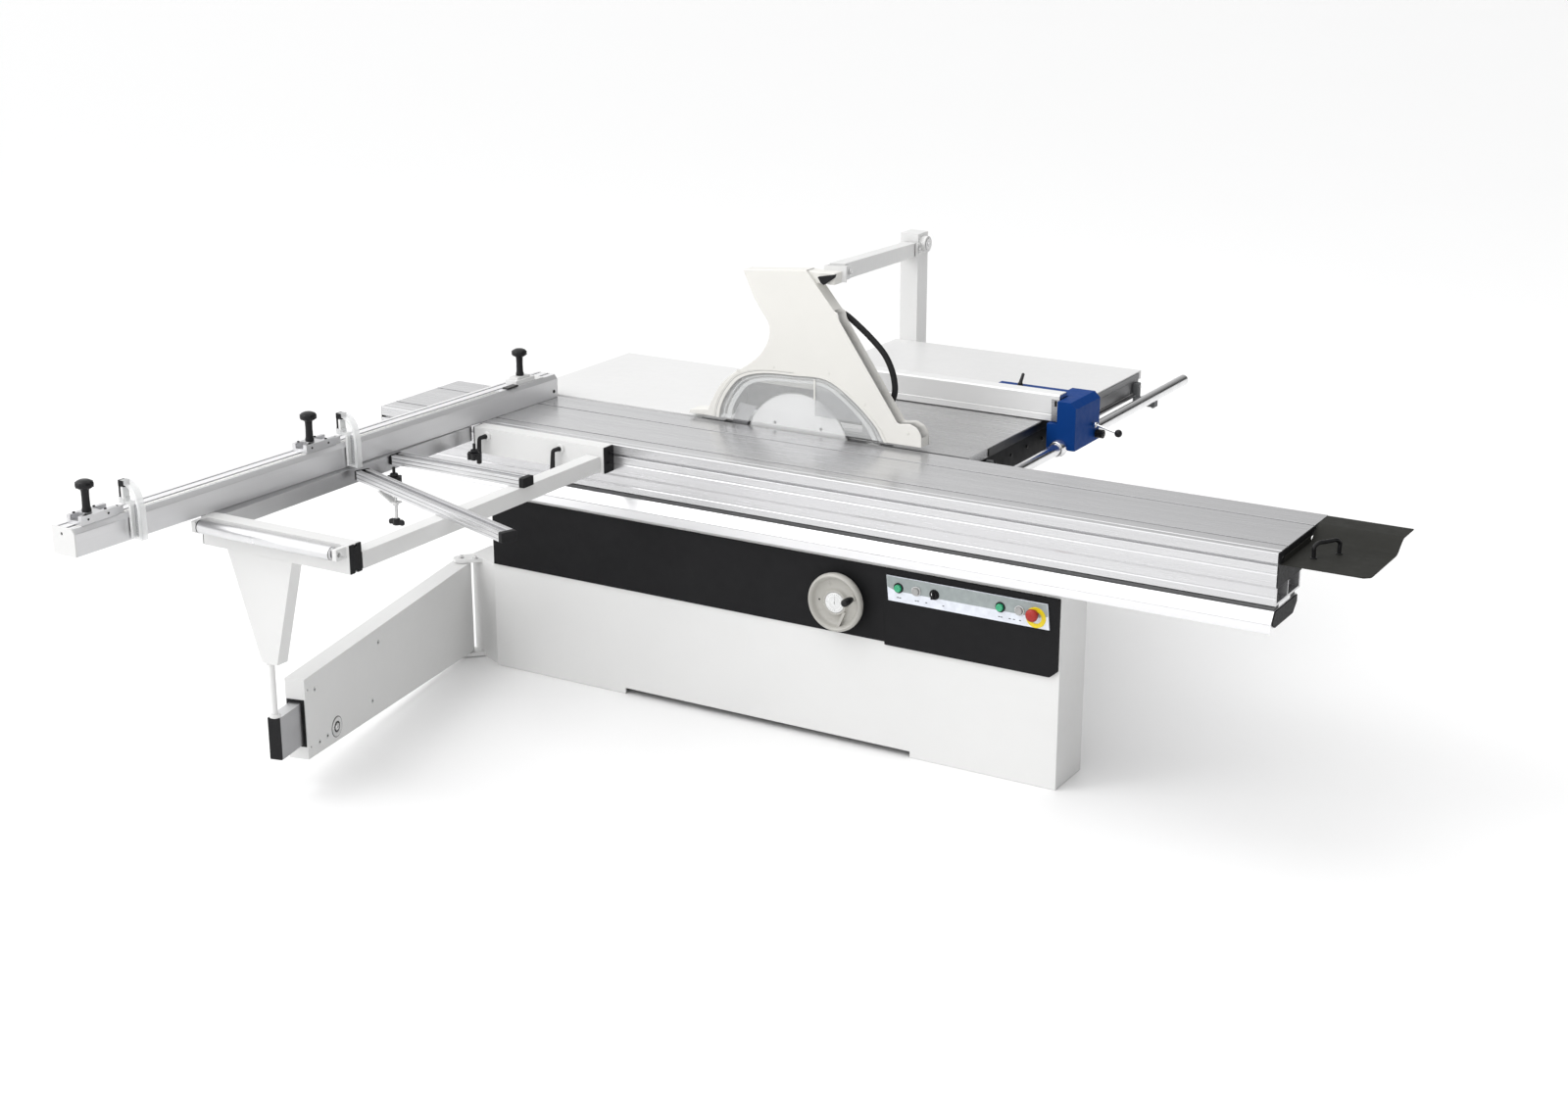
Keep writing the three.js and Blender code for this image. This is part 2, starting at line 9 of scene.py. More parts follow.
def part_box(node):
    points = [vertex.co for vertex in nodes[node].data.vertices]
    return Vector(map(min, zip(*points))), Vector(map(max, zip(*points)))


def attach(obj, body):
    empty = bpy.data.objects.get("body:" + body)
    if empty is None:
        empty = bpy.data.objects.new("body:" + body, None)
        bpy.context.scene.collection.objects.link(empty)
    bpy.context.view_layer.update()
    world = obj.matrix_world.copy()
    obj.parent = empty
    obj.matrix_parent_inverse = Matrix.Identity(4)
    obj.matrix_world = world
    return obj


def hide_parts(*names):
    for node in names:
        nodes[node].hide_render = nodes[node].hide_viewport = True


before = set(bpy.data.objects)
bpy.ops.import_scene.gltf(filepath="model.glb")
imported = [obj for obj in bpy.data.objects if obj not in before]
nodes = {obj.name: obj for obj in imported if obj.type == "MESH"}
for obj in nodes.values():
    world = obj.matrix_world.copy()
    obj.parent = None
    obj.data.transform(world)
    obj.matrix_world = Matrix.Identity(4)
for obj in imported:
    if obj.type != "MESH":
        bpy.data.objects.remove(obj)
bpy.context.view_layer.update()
Point = namedtuple("Point", "x y z")

# Sizes and places of the machine are in millimetres; Shape turns them into metres.
MM = 0.001
FLAT_WEIGHT = 80            # share of the big faces in the smoothed normals
WELD_DISTANCE = 0.00002     # metres
CREASE = 32                 # degrees between faces that still shade as one

# Camera, in metres and degrees.
CAMERA_PLACE = (3.828, -6.507, 2.890)
CAMERA_DIP, CAMERA_TURN = 17.95, 30.82
CAMERA_LENS, CAMERA_SENSOR = 54.5, 36
FLOOR_REACH = 250
SKY_SIDE, SKY_LEVEL = (-0.80, -0.66, 0.46), 0.76    # where the sky is brightest, and how bright

# Hood and window outlines (x, z), from the table top up and over.
HOOD_LEFT = [
    (-411, 884), (-405, 896), (-335, 905), (-312, 952), (-284, 997), (-232, 1043), (-174, 1080),
    (-128, 1120), (-98, 1172), (-97, 1222), (-124, 1262), (-153, 1303), (-194, 1392),
]
HOOD_RIGHT = [
    (44, 1413), (149, 1290), (160, 1286), (166, 1262), (384, 951), (427, 957), (455, 945),
    (469, 922), (470, 884),
]
WINDOW_EDGE = [
    (334, 884), (299, 937), (216, 1009), (120, 1062), (0, 1062), (-118, 1056), (-203, 1030),
    (-252, 980), (-280, 928), (-290, 884),
]
WINDOW_X, WINDOW_Z = 22, 884    # centre from which the window's bands are scaled


# ---------------------------------------------------------------- shader helpers

def socket(node, name, value):
    node.inputs[name].default_value = value


def faded(color, factor):
    return tuple(c * factor for c in color)


class Recipe:
    """A node material built step by step around one Principled shader."""

    def __init__(self, name, color, roughness, metallic=0.0):
        self.material = bpy.data.materials.new(name)
        self.material.use_nodes = True
        self.tree = self.material.node_tree
        self.shader = self.tree.nodes["Principled BSDF"]
        socket(self.shader, "Base Color", (*color, 1.0))
        socket(self.shader, "Roughness", roughness)
        socket(self.shader, "Metallic", metallic)
        self.place = self.tree.nodes.new("ShaderNodeTexCoord").outputs
        self.normal = None

    def add(self, kind, **links):
        node = self.tree.nodes.new(kind)
        for name, value in links.items():
            key = name.replace("_", " ")
            if isinstance(value, bpy.types.NodeSocket):
                self.tree.links.new(value, node.inputs[key])
            else:
                socket(node, key, value)
        return node

    def noise(self, scale, stretch=(1, 1, 1), detail=3.0, rough=0.55):
        mapping = self.add("ShaderNodeMapping", Vector=self.place["Object"], Scale=stretch)
        noise = self.add("ShaderNodeTexNoise", Vector=mapping.outputs[0], Scale=scale,
                         Detail=detail, Roughness=rough)
        return noise.outputs["Fac"]

    def spread(self, value, low, high, start=0.3, end=0.7):
        ranged = self.add("ShaderNodeMapRange", Value=value, From_Min=start, From_Max=end,
                          To_Min=low, To_Max=high)
        return ranged.outputs[0]

    def mix(self, factor, first, second):
        node = self.tree.nodes.new("ShaderNodeMix")
        node.data_type = "RGBA"
        for index, value in ((0, factor), (6, first), (7, second)):
            if isinstance(value, bpy.types.NodeSocket):
                self.tree.links.new(value, node.inputs[index])
            else:
                node.inputs[index].default_value = value if index == 0 else (*value, 1.0)
        return node.outputs[2]

    def color(self, factor, first, second):
        mixed = self.mix(factor, first, second)
        self.tree.links.new(mixed, self.shader.inputs["Base Color"])

    def roughness(self, value, low, high):
        self.tree.links.new(self.spread(value, low, high), self.shader.inputs["Roughness"])

    def bump(self, height, strength, distance):
        bump = self.add("ShaderNodeBump", Height=height, Strength=strength, Distance=distance)
        if self.normal is not None:
            self.tree.links.new(self.normal, bump.inputs["Normal"])
        self.normal = bump.outputs[0]
        self.tree.links.new(self.normal, self.shader.inputs["Normal"])


def powder_coat(name, color, rough=0.42, grime=0.93, texture=0.12, gloss=0.5):
    """Sprayed paint: fine orange peel, patchy gloss, a little grime in drifts."""
    r = Recipe(name, color, rough)
    r.color(r.spread(r.noise(2.1, detail=5), 0, 1), color, faded(color, grime))
    r.roughness(r.noise(34, detail=4), rough - 0.05, rough + 0.07)
    r.bump(r.noise(620, detail=2), texture, 0.00025)
    r.bump(r.noise(9, detail=2), 0.05, 0.0012)
    socket(r.shader, "Specular IOR Level", gloss)
    return r.material


def brushed(name, color, along, rough=0.3, streak=0.12, shade=None, metal=1.0):
    """Metal brushed or drawn along one axis ('x', 'y' or 'z'); shade, when given, is a colour painted on the
    faces that point up, a painted highlight or painted shade for how the light falls on the tops.
    """
    r = Recipe(name, color, rough, metal)
    stretch = [0.012 if axis == along else 1 for axis in "xyz"]
    lines = r.noise(420, stretch, detail=6, rough=0.7)
    bands = r.noise(26, stretch, detail=3)
    base = r.mix(r.spread(bands, 0, 1), color, faded(color, 1 - streak))
    if shade:
        # Faces that point up are blended to the top colour: painted highlight or painted shade by facing, not
        # a different finish.
        facing = r.add("ShaderNodeSeparateXYZ", Vector=r.place["Normal"])
        top = r.spread(facing.outputs["Z"], 0, 1, 0.55, 0.95)
        base = r.mix(top, base, r.mix(r.spread(bands, 0, 1), shade, faded(shade, 1 - streak)))
    r.color(r.spread(lines, 0, streak * 0.6), base, (0.1, 0.1, 0.1))
    r.roughness(lines, rough - 0.03, rough + 0.05)
    r.bump(lines, 0.05, 0.0001)
    return r.material


def polished(name, color, rough=0.09):
    """Chrome or plated steel with faint hairlines and smudges."""
    r = Recipe(name, color, rough, 1.0)
    smudge = r.noise(18, detail=4)
    r.color(r.spread(smudge, 0, 1), color, faded(color, 0.93))
    r.roughness(smudge, rough, rough + 0.09)
    r.bump(r.noise(900, detail=2), 0.03, 0.0001)
    return r.material


def plastic(name, color, rough=0.4, grain=0.2, coat=0.0, gloss=0.5):
    """Moulded plastic: fine spark-eroded grain and slightly uneven gloss."""
    r = Recipe(name, color, rough)
    r.color(r.spread(r.noise(45, detail=4), 0, 1), color, faded(color, 0.82))
    r.roughness(r.noise(120, detail=3), rough - 0.06, rough + 0.09)
    r.bump(r.noise(1500, detail=2), grain, 0.0002)
    socket(r.shader, "Coat Weight", coat)
    socket(r.shader, "Specular IOR Level", gloss)
    return r.material


def casting(name, color, rough=0.6):
    """Painted or bare sand casting: lumpy skin and darker hollows."""
    r = Recipe(name, color, rough, 0.35)
    skin = r.noise(260, detail=6, rough=0.65)
    r.color(r.spread(skin, 0, 1), faded(color, 0.7), color)
    r.roughness(skin, rough - 0.1, rough + 0.1)
    r.bump(skin, 0.5, 0.0008)
    return r.material


def clear(name, tint, rough=0.06, alpha=0.3):
    """Transparent moulded plastic, seen through its alpha, with scuffs that catch the light."""
    r = Recipe(name, tint, rough)
    scuffs = r.noise(240, (1, 0.15, 1), detail=5)
    r.roughness(scuffs, rough, rough + 0.2)
    r.color(r.spread(scuffs, 0, 1), tint, faded(tint, 0.95))
    r.bump(r.noise(14, detail=2), 0.04, 0.0006)
    socket(r.shader, "Alpha", alpha)
    socket(r.shader, "IOR", 1.49)
    return r.material


WHITE = powder_coat("white_powder_coat", (0.70, 0.70, 0.695), grime=0.965)
TABLE_WHITE = powder_coat("white_table_paint", (0.70, 0.70, 0.698), 0.34, 0.97, 0.06)
CREAM = powder_coat("cream_guard_paint", (0.74, 0.73, 0.695), 0.38, texture=0.05)
BLACK = powder_coat("black_panel_paint", (0.012, 0.012, 0.013), 0.6, 0.8, gloss=0.12)
OLIVE = powder_coat("dark_sheet_paint", (0.026, 0.026, 0.023), 0.6, 0.85, gloss=0.12)
BLUE = powder_coat("blue_machine_paint", (0.003, 0.042, 0.205), 0.5, texture=0.2, gloss=0.08)
WHEEL = powder_coat("wheel_enamel", (0.43, 0.42, 0.39), 0.30)
# The sixth value of a brushed metal is its painted top colour: a painted highlight or painted shade on faces
# that point up.
TABLE_TOP = brushed("anodised_extrusion", (0.66, 0.66, 0.67), "x", 0.24, 0.10, (0.63, 0.63, 0.64), 0.7)
BEAM = brushed("bright_beam", (0.86, 0.86, 0.87), "x", 0.34, 0.06)
CROSS_Y = brushed("drawn_aluminium_y", (0.70, 0.70, 0.71), "y", 0.34, 0.06, (0.66, 0.66, 0.67))
FENCE_METAL = brushed("fence_extrusion", (0.74, 0.74, 0.75), "y", 0.36, 0.04, (0.86, 0.86, 0.87), 0.65)
RAIL = brushed("rail_aluminium", (0.76, 0.76, 0.77), "x", 0.34, 0.05, (0.60, 0.60, 0.61))
RIP_METAL = brushed("rip_fence_aluminium", (0.86,) * 3, "x", 0.40, 0.03, (0.86,) * 3, 0.35)
GROUND = brushed("ground_cast_table", (0.50, 0.50, 0.505), "x", 0.27, 0.10, metal=0.7)
BLADE = brushed("ground_blade_steel", (0.90,) * 3, "x", 0.42, 0.03, metal=0.25)
EDGE = brushed("dark_edge_profile", (0.26, 0.26, 0.265), "y", 0.38, 0.1)
TUBE_METAL = brushed("telescope_aluminium", (0.40, 0.40, 0.41), "x", 0.36, 0.06, (0.7, 0.7, 0.71))
KNIFE = brushed("riving_knife_steel", (0.40, 0.40, 0.41), "x", 0.35, 0.05, metal=0.6)
CHROME = polished("hard_chrome", (0.84, 0.84, 0.85), 0.16)
ROLLER = polished("satin_roller_chrome", (0.74, 0.74, 0.75), 0.26)
ZINC = polished("zinc_screws", (0.62,) * 3, 0.22)
DARK_STEEL = polished("black_oxide_steel", (0.05,) * 3, 0.3)
KNOB = plastic("black_knob_plastic", (0.008, 0.008, 0.009), 0.38, 0.15, gloss=0.28)
CAP = plastic("black_end_cap_plastic", (0.010, 0.010, 0.011), 0.55, 0.35, gloss=0.2)
STRIP = plastic("grey_dust_strip", (0.12, 0.12, 0.122), 0.6, 0.3)
RUBBER = plastic("black_hose_rubber", (0.012, 0.012, 0.013), 0.62, 0.4, gloss=0.25)
# Grey of the sheets inside the hood that darken the view through the window: painted shade.
SHADE_GREY = plastic("painted_shade_grey", (0.40,) * 3, 0.6, 0.2, gloss=0.2)
GREEN = plastic("green_button_plastic", (0.02, 0.36, 0.17), 0.25, 0.05, 0.5)
GREY = plastic("grey_button_plastic", (0.36, 0.36, 0.355), 0.35, 0.08, 0.2)
RED = plastic("red_button_plastic", (0.36, 0.018, 0.012), 0.30, 0.05, 0.2, 0.3)
YELLOW = plastic("yellow_ring_plastic", (0.80, 0.62, 0.01), 0.4, 0.08)
PANEL_GREY = plastic("grey_foil", (0.30, 0.335, 0.335), 0.42, 0.06)
PANEL_PALE = plastic("pale_foil", (0.74, 0.77, 0.84), 0.42, 0.06)
DIAL = plastic("dial_white", (0.85,) * 3, 0.3, 0.03, 0.6)
SCALE = plastic("scale_foil", (0.72, 0.72, 0.70), 0.4, 0.05)
CLEAR = clear("clear_polycarbonate", (0.86, 0.87, 0.87), 0.08, 0.22)
FROST = clear("frosted_polycarbonate", (0.92, 0.93, 0.93), 0.25, 0.50)
SMOKE = clear("smoked_pane", (0.42, 0.43, 0.44), 0.2, 0.38)
IRON = casting("grey_machine_iron", (0.16, 0.165, 0.17))


# ---------------------------------------------------------------- outlines

def off(u, v, *steps):
    """Outline points given from the corner (u, v)."""
    return [(u + a, v + b) for a, b in steps]


def rect(a0, a1, b0, b1):
    return [(a0, b0), (a1, b0), (a1, b1), (a0, b1)]


def polar(radius, turn, cx=0, cy=0):
    """Point at a radius and a share of a full turn."""
    angle = 2 * math.pi * turn
    return cx + radius * math.cos(angle), cy + radius * math.sin(angle)


def circle(cx, cy, radius, count=32):
    return [polar(radius, i / count, cx, cy) for i in range(count)]


def star(cx, cy, radius, lobes, depth=0.1, count=72):
    """Lobed outline of a hand knob."""
    waves = [1 - depth + depth * math.cos(2 * math.pi * lobes * i / count) for i in range(count)]
    return [polar(radius * wave, i / count, cx, cy) for i, wave in enumerate(waves)]


def millimetres(points):
    return [tuple(c / MM for c in p) for p in points]


def rounded(points, radius, steps=5):
    """Rounds every corner of a closed outline."""
    corners, out = [Vector([c * MM for c in p]) for p in points], []
    for i, here in enumerate(corners):
        before = corners[i - 1] - here
        after = corners[(i + 1) % len(corners)] - here
        cut = min(radius * MM, before.length * 0.45, after.length * 0.45)
        start = here + before.normalized() * cut
        end = here + after.normalized() * cut
        for k in range(steps + 1):
            t = k / steps
            out.append(start * (1 - t) ** 2 + here * 2 * t * (1 - t) + end * t * t)
    return millimetres(out)


def smooth_path(points, steps=8):
    """Catmull-Rom curve through a list of points."""
    pts = [Vector(p) for p in points]
    pts = [pts[0] * 2 - pts[1]] + pts + [pts[-1] * 2 - pts[-2]]
    out = []
    for i in range(1, len(pts) - 2):
        a, b, c, d = pts[i - 1:i + 3]
        for k in range(steps):
            t = k / steps
            out.append(0.5 * (2 * b + (c - a) * t + (2 * a - 5 * b + 4 * c - d) * t * t
                              + (3 * b - a - 3 * c + d) * t ** 3))
    return out + [pts[-2]]


def t_slot(a, b, top, wide, lip, deep, neck=3):
    """Undercut slot in a top face, between a and b (b < a)."""
    return [
        (a, top), (a, top - neck), (a + wide, top - neck - lip), (a + wide, top - deep),
        (b - wide, top - deep), (b - wide, top - neck - lip), (b, top - neck), (b, top),
    ]


# ---------------------------------------------------------------- solids and pieces

class Shape:
    """Closed solids gathered in one mesh; matrix places the finished object."""

    def __init__(self, matrix=None):
        self.bm = bmesh.new()
        self.matrix = matrix or Matrix.Identity(4)

    def vert(self, co):
        return self.bm.verts.new([c * MM for c in co])

    def on(self, axis, a, b, along):
        """Vertex at (a, b) in the plane across an axis, in X, Y, Z order, at a station along it."""
        return self.vert({"x": (along, a, b), "y": (a, along, b), "z": (a, b, along)}[axis])

    def face(self, verts):
        try:
            self.bm.faces.new(verts)
        except ValueError:
            pass

    def wall(self, low, high):
        """Quads between two rings of the same length."""
        for i in range(len(low)):
            j = (i + 1) % len(low)
            self.face((low[i], low[j], high[j], high[i]))

    def prism(self, axis, outline, a, b, holes=()):
        """Pulls an outline, with any holes, along an axis from a to b."""
        caps = [[[self.on(axis, u, v, station) for u, v in loop] for loop in (outline, *holes)]
                for station in (a, b)]
        for low, high in zip(*caps):
            self.wall(low, high)
        for loops in caps:
            if len(loops) == 1:
                self.face(loops[0])
                continue
            edges = []
            for loop in loops:
                for pair in zip(loop, loop[1:] + loop[:1]):
                    edges.append(self.bm.edges.get(pair) or self.bm.edges.new(pair))
            bmesh.ops.triangle_fill(self.bm, use_beauty=True, use_dissolve=False, edges=edges)
        return self

    def trim(self, place, outward):
        """Cuts away everything beyond a plane and closes the cut."""
        everything = self.bm.verts[:] + self.bm.edges[:] + self.bm.faces[:]
        bmesh.ops.bisect_plane(self.bm, geom=everything, plane_co=[c * MM for c in place],
                               plane_no=outward, clear_outer=True)
        bmesh.ops.holes_fill(self.bm, edges=[e for e in self.bm.edges if e.is_boundary], sides=0)
        return self

    def block(self, x0, x1, y0, y1, z0, z1):
        return self.prism("z", rect(x0, x1, y0, y1), z0, z1)

    def lathe(self, axis, centre, profile, segments=48, base=0, out=1):
        """Turns (radius, distance) points about an axis; distances run from base, along out."""
        rings = []
        for radius, distance in profile:
            spots = circle(*centre, radius, segments) if radius else [centre]
            rings.append([self.on(axis, *spot, base + out * distance) for spot in spots])
        pairs = list(zip(rings, rings[1:]))
        if len(rings[0]) > 1:
            pairs.append((rings[-1], rings[0]))
        for low, high in pairs:
            for i in range(segments):
                j = (i + 1) % segments
                ends = ((low, i), (low, j), (high, j), (high, i))
                corners = dict.fromkeys(ring[k % len(ring)] for ring, k in ends)
                if len(corners) > 2:
                    self.face(list(corners))
        return self

    def rod(self, axis, centre, radius, a, b, edge=0.8, segments=32):
        """A cylinder with small bevelled rims."""
        length = abs(b - a)
        return self.lathe(axis, centre, [
            (0, 0), (radius - edge, 0), (radius, edge), (radius, length - edge),
            (radius - edge, length), (0, length),
        ], segments, a, 1 if b > a else -1)

    def tube(self, points, radius, segments=16):
        """A round bar through a list of points, with flat ends; radius may depend on the way along."""
        points = [Vector(p) for p in points]
        last = len(points) - 1
        rings = []
        normal = None
        for i, p in enumerate(points):
            ahead = (points[min(i + 1, last)] - points[max(i - 1, 0)]).normalized()
            if normal is None:
                normal = ahead.orthogonal()
            normal = (normal - ahead * normal.dot(ahead)).normalized()
            side = ahead.cross(normal)
            r = radius(i / last) if callable(radius) else radius
            rings.append([self.vert(p + normal * a + side * b) for a, b in circle(0, 0, r, segments)])
        for low, high in zip(rings, rings[1:]):
            self.wall(low, high)
        self.face(rings[0][::-1])
        self.face(rings[-1])
        return self

    def ball(self, centre, radius, squash=1.0, segments=24, steps=12):
        profile = [(0, -radius * squash)]
        for i in range(1, steps):
            across, down = polar(radius, 0.25 - i / steps / 2)
            profile.append((across, -down * squash))
        return self.lathe("z", centre[:2], profile + [(0, radius * squash)], segments, centre[2])

    def piece(self, name, material, body, slot, replaces=(), bevel=0.0, angle=CREASE, segments=2):
        """Turns the gathered solids into a finished object that rides on a body."""
        bmesh.ops.recalc_face_normals(self.bm, faces=self.bm.faces)
        self.bm.normal_update()
        if not bevel:
            for edge in self.bm.edges:
                if len(edge.link_faces) == 2:
                    edge.smooth = edge.calc_face_angle(0) < math.radians(angle)
        mesh = bpy.data.meshes.new(name)
        self.bm.to_mesh(mesh)
        self.bm.free()
        mesh.polygons.foreach_set("use_smooth", [True] * len(mesh.polygons))
        obj = bpy.data.objects.new(name, mesh)
        bpy.context.scene.collection.objects.link(obj)
        mesh.materials.append(material)
        obj.matrix_world = self.matrix
        if bevel:
            round_edges(obj, bevel, segments, angle)
            flatten(obj).keep_sharp = True
        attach(obj, body)
        if replaces:
            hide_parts(*replaces)
        return obj


def round_edges(obj, width, segments, angle=CREASE):
    mod = obj.modifiers.new("rounded_edges", "BEVEL")
    mod.width = width * MM
    mod.segments = segments
    mod.limit_method = "ANGLE"
    mod.angle_limit = math.radians(angle)
    mod.harden_normals = False
    mod.use_clamp_overlap = True


def flatten(obj):
    weighted = obj.modifiers.new("flat_faces", "WEIGHTED_NORMAL")
    weighted.weight = FLAT_WEIGHT
    return weighted


def dress(name, material, bevel, segments):
    """Gives a CAD node its finished material and softly rounded edges."""
    obj = nodes[name]
    obj.data.materials.clear()
    obj.data.materials.append(material)
    obj.data.polygons.foreach_set("use_smooth", [True] * len(obj.data.polygons))
    obj.modifiers.new("welded", "WELD").merge_threshold = WELD_DISTANCE
    round_edges(obj, bevel, segments)
    flatten(obj)


def extents(name):
    """x0, x1, y0, y1, z0, z1 of a CAD node at rest."""
    return [end / MM for ends in zip(*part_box(name)) for end in ends]


def centre_of(name):
    low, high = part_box(name)
    return Point(*millimetres([(low + high) / 2])[0])


def placed(x, y, z, turn=0):
    """Matrix of a place, turned about the vertical by some degrees."""
    return Matrix.Translation((x * MM, y * MM, z * MM)) @ Matrix.Rotation(math.radians(turn), 4, "Z")


def cap_screw(shape, axis, centre, face, radius, out, height):
    """Socket-head screw standing out of a face along +axis (out=1) or -axis (out=-1)."""
    hexagon = radius * 0.52
    shape.lathe(axis, centre, [
        (0, -1), (radius, -1), (radius, height - 0.6), (radius - 0.6, height), (hexagon, height),
        (hexagon, height * 0.45), (0, height * 0.45),
    ], 24, face, out)


def end_pads(name, body, outline, x0, x1, inset, depth, bevel, material=CAP, slot="black_plastic"):
    """Two thin pads that close the ends of a bar along X."""
    pads = Shape().prism("x", outline, x0 + inset, x0 + depth)
    pads.prism("x", outline, x1 - depth, x1 - inset).piece(name, material, body, slot, bevel=bevel)


def overhead_frame():
    """Frame of the overhead arm, X along it from the mast's pin, and the arm's length."""
    start, end = Vector((-0.306, 1.345, 1.226)), Vector((0.110, 0.058, 1.402))
    reach = end - start
    turn = Matrix.Rotation(math.atan2(reach.y, reach.x), 4, "Z")
    dip = Matrix.Rotation(-math.atan2(reach.z, math.hypot(reach.x, reach.y)), 4, "Y")
    return Matrix.Translation(start) @ turn @ dip, reach.length / MM


OVERHEAD_AT, OVERHEAD_SPAN = overhead_frame()


# ---------------------------------------------------------------- camera, floor and light

def camera_and_light():
    """Camera, pale floor, plain sky with an even band at the horizon, and two softboxes."""
    scene = bpy.context.scene
    cam = bpy.data.objects.new("camera", bpy.data.cameras.new("camera"))
    scene.collection.objects.link(cam)
    cam.data.lens = CAMERA_LENS
    cam.data.sensor_width = CAMERA_SENSOR
    cam.location = CAMERA_PLACE
    cam.rotation_euler = (math.radians(90 - CAMERA_DIP), 0, math.radians(CAMERA_TURN))
    scene.camera = cam

    floor = bmesh.new()
    corners = rect(-FLOOR_REACH, FLOOR_REACH, -FLOOR_REACH, FLOOR_REACH)
    floor.faces.new([floor.verts.new((x, y, 0)) for x, y in corners])
    mesh = bpy.data.meshes.new("studio_floor")
    floor.to_mesh(mesh)
    floor.free()
    plane = bpy.data.objects.new("studio_floor", mesh)
    scene.collection.objects.link(plane)
    paint = Recipe("pale_floor", (0.93, 0.93, 0.93), 0.5)
    paint.roughness(paint.noise(0.7), 0.48, 0.52)
    socket(paint.shader, "Specular IOR Level", 0.1)
    mesh.materials.append(paint.material)

    world = bpy.data.worlds.new("studio")
    scene.world = world
    world.use_nodes = True
    tree = world.node_tree
    ray = tree.nodes.new("ShaderNodeTexCoord").outputs["Generated"]
    slope = tree.nodes.new("ShaderNodeVectorMath")
    slope.operation = "DOT_PRODUCT"
    slope.inputs[1].default_value = SKY_SIDE
    sky = tree.nodes.new("ShaderNodeMath")
    sky.inputs[1].default_value = SKY_LEVEL
    height = tree.nodes.new("ShaderNodeSeparateXYZ")
    horizon = tree.nodes.new("ShaderNodeMapRange")
    for name, number in (("From Min", 0.10), ("From Max", 0.17), ("To Min", 0.97), ("To Max", 0.03)):
        socket(horizon, name, number)
    level = tree.nodes.new("ShaderNodeMath")
    level.operation = "MAXIMUM"
    back = tree.nodes["Background"]
    socket(back, "Color", (1.0, 1.0, 1.0, 1.0))
    for source, target in (
        (ray, slope.inputs[0]), (slope.outputs["Value"], sky.inputs[0]),
        (ray, height.inputs[0]), (height.outputs["Z"], horizon.inputs["Value"]),
        (sky.outputs[0], level.inputs[0]), (horizon.outputs[0], level.inputs[1]),
        (level.outputs[0], back.inputs["Strength"]),
    ):
        tree.links.new(source, target)

    for name, place, aim, size, power in (
        ("key_softbox", (-3.5, -4.5, 6.0), (0, 0, 0.6), 3.0, 90),
        ("top_softbox", (0.5, 1.0, 6.5), (0, 0, 0.8), 4.0, 60),
    ):
        light = bpy.data.objects.new(name, bpy.data.lights.new(name, "AREA"))
        scene.collection.objects.link(light)
        light.data.size = size
        light.data.energy = power
        light.location = place
        light.rotation_euler = (Vector(aim) - Vector(place)).to_track_quat("-Z", "Y").to_euler()
    scene.view_settings.view_transform = "Standard"


def dressed_nodes():
    """CAD nodes that keep their own mesh: material, bevel width and bevel steps."""
    for names, material, bevel, segments in (
        ("front_cabinet rear_cabinet swing_hinge_post", WHITE, 3.5, 3),
        ("left_extension_table", TABLE_WHITE, 2, 2),
        ("rip_extension_table", TABLE_WHITE, 1.5, 2),
        ("steel_table", GROUND, 1.2, 2),
        ("fascia_panel", BLACK, 1.5, 2),
        ("outrigger_rear_profile outrigger_right_beam", WHITE, 2, 3),
        ("outrigger_left_beam", CROSS_Y, 1.2, 2),
        ("outrigger_front_profile", WHITE, 1.8, 3),
        ("short_rail diagonal_rail", RAIL, 0.8, 2),
        ("swing_arm", WHITE, 6, 4),
        ("telescopic_arm", TUBE_METAL, 2, 3),
        ("guard_mast overhead_arm", WHITE, 4, 3),
        ("rip_head", BLUE, 4, 4),
        ("tilt_trunnion", IRON, 4, 3),
        ("lift_carriage", IRON, 3, 3),
        ("drive_belt", RUBBER, 1, 2),
        ("riving_knife", KNIFE, 0.5, 2),
    ):
        for name in names.split():
            dress(name, material, bevel, segments)


# ---------------------------------------------------------------- sliding table and controls

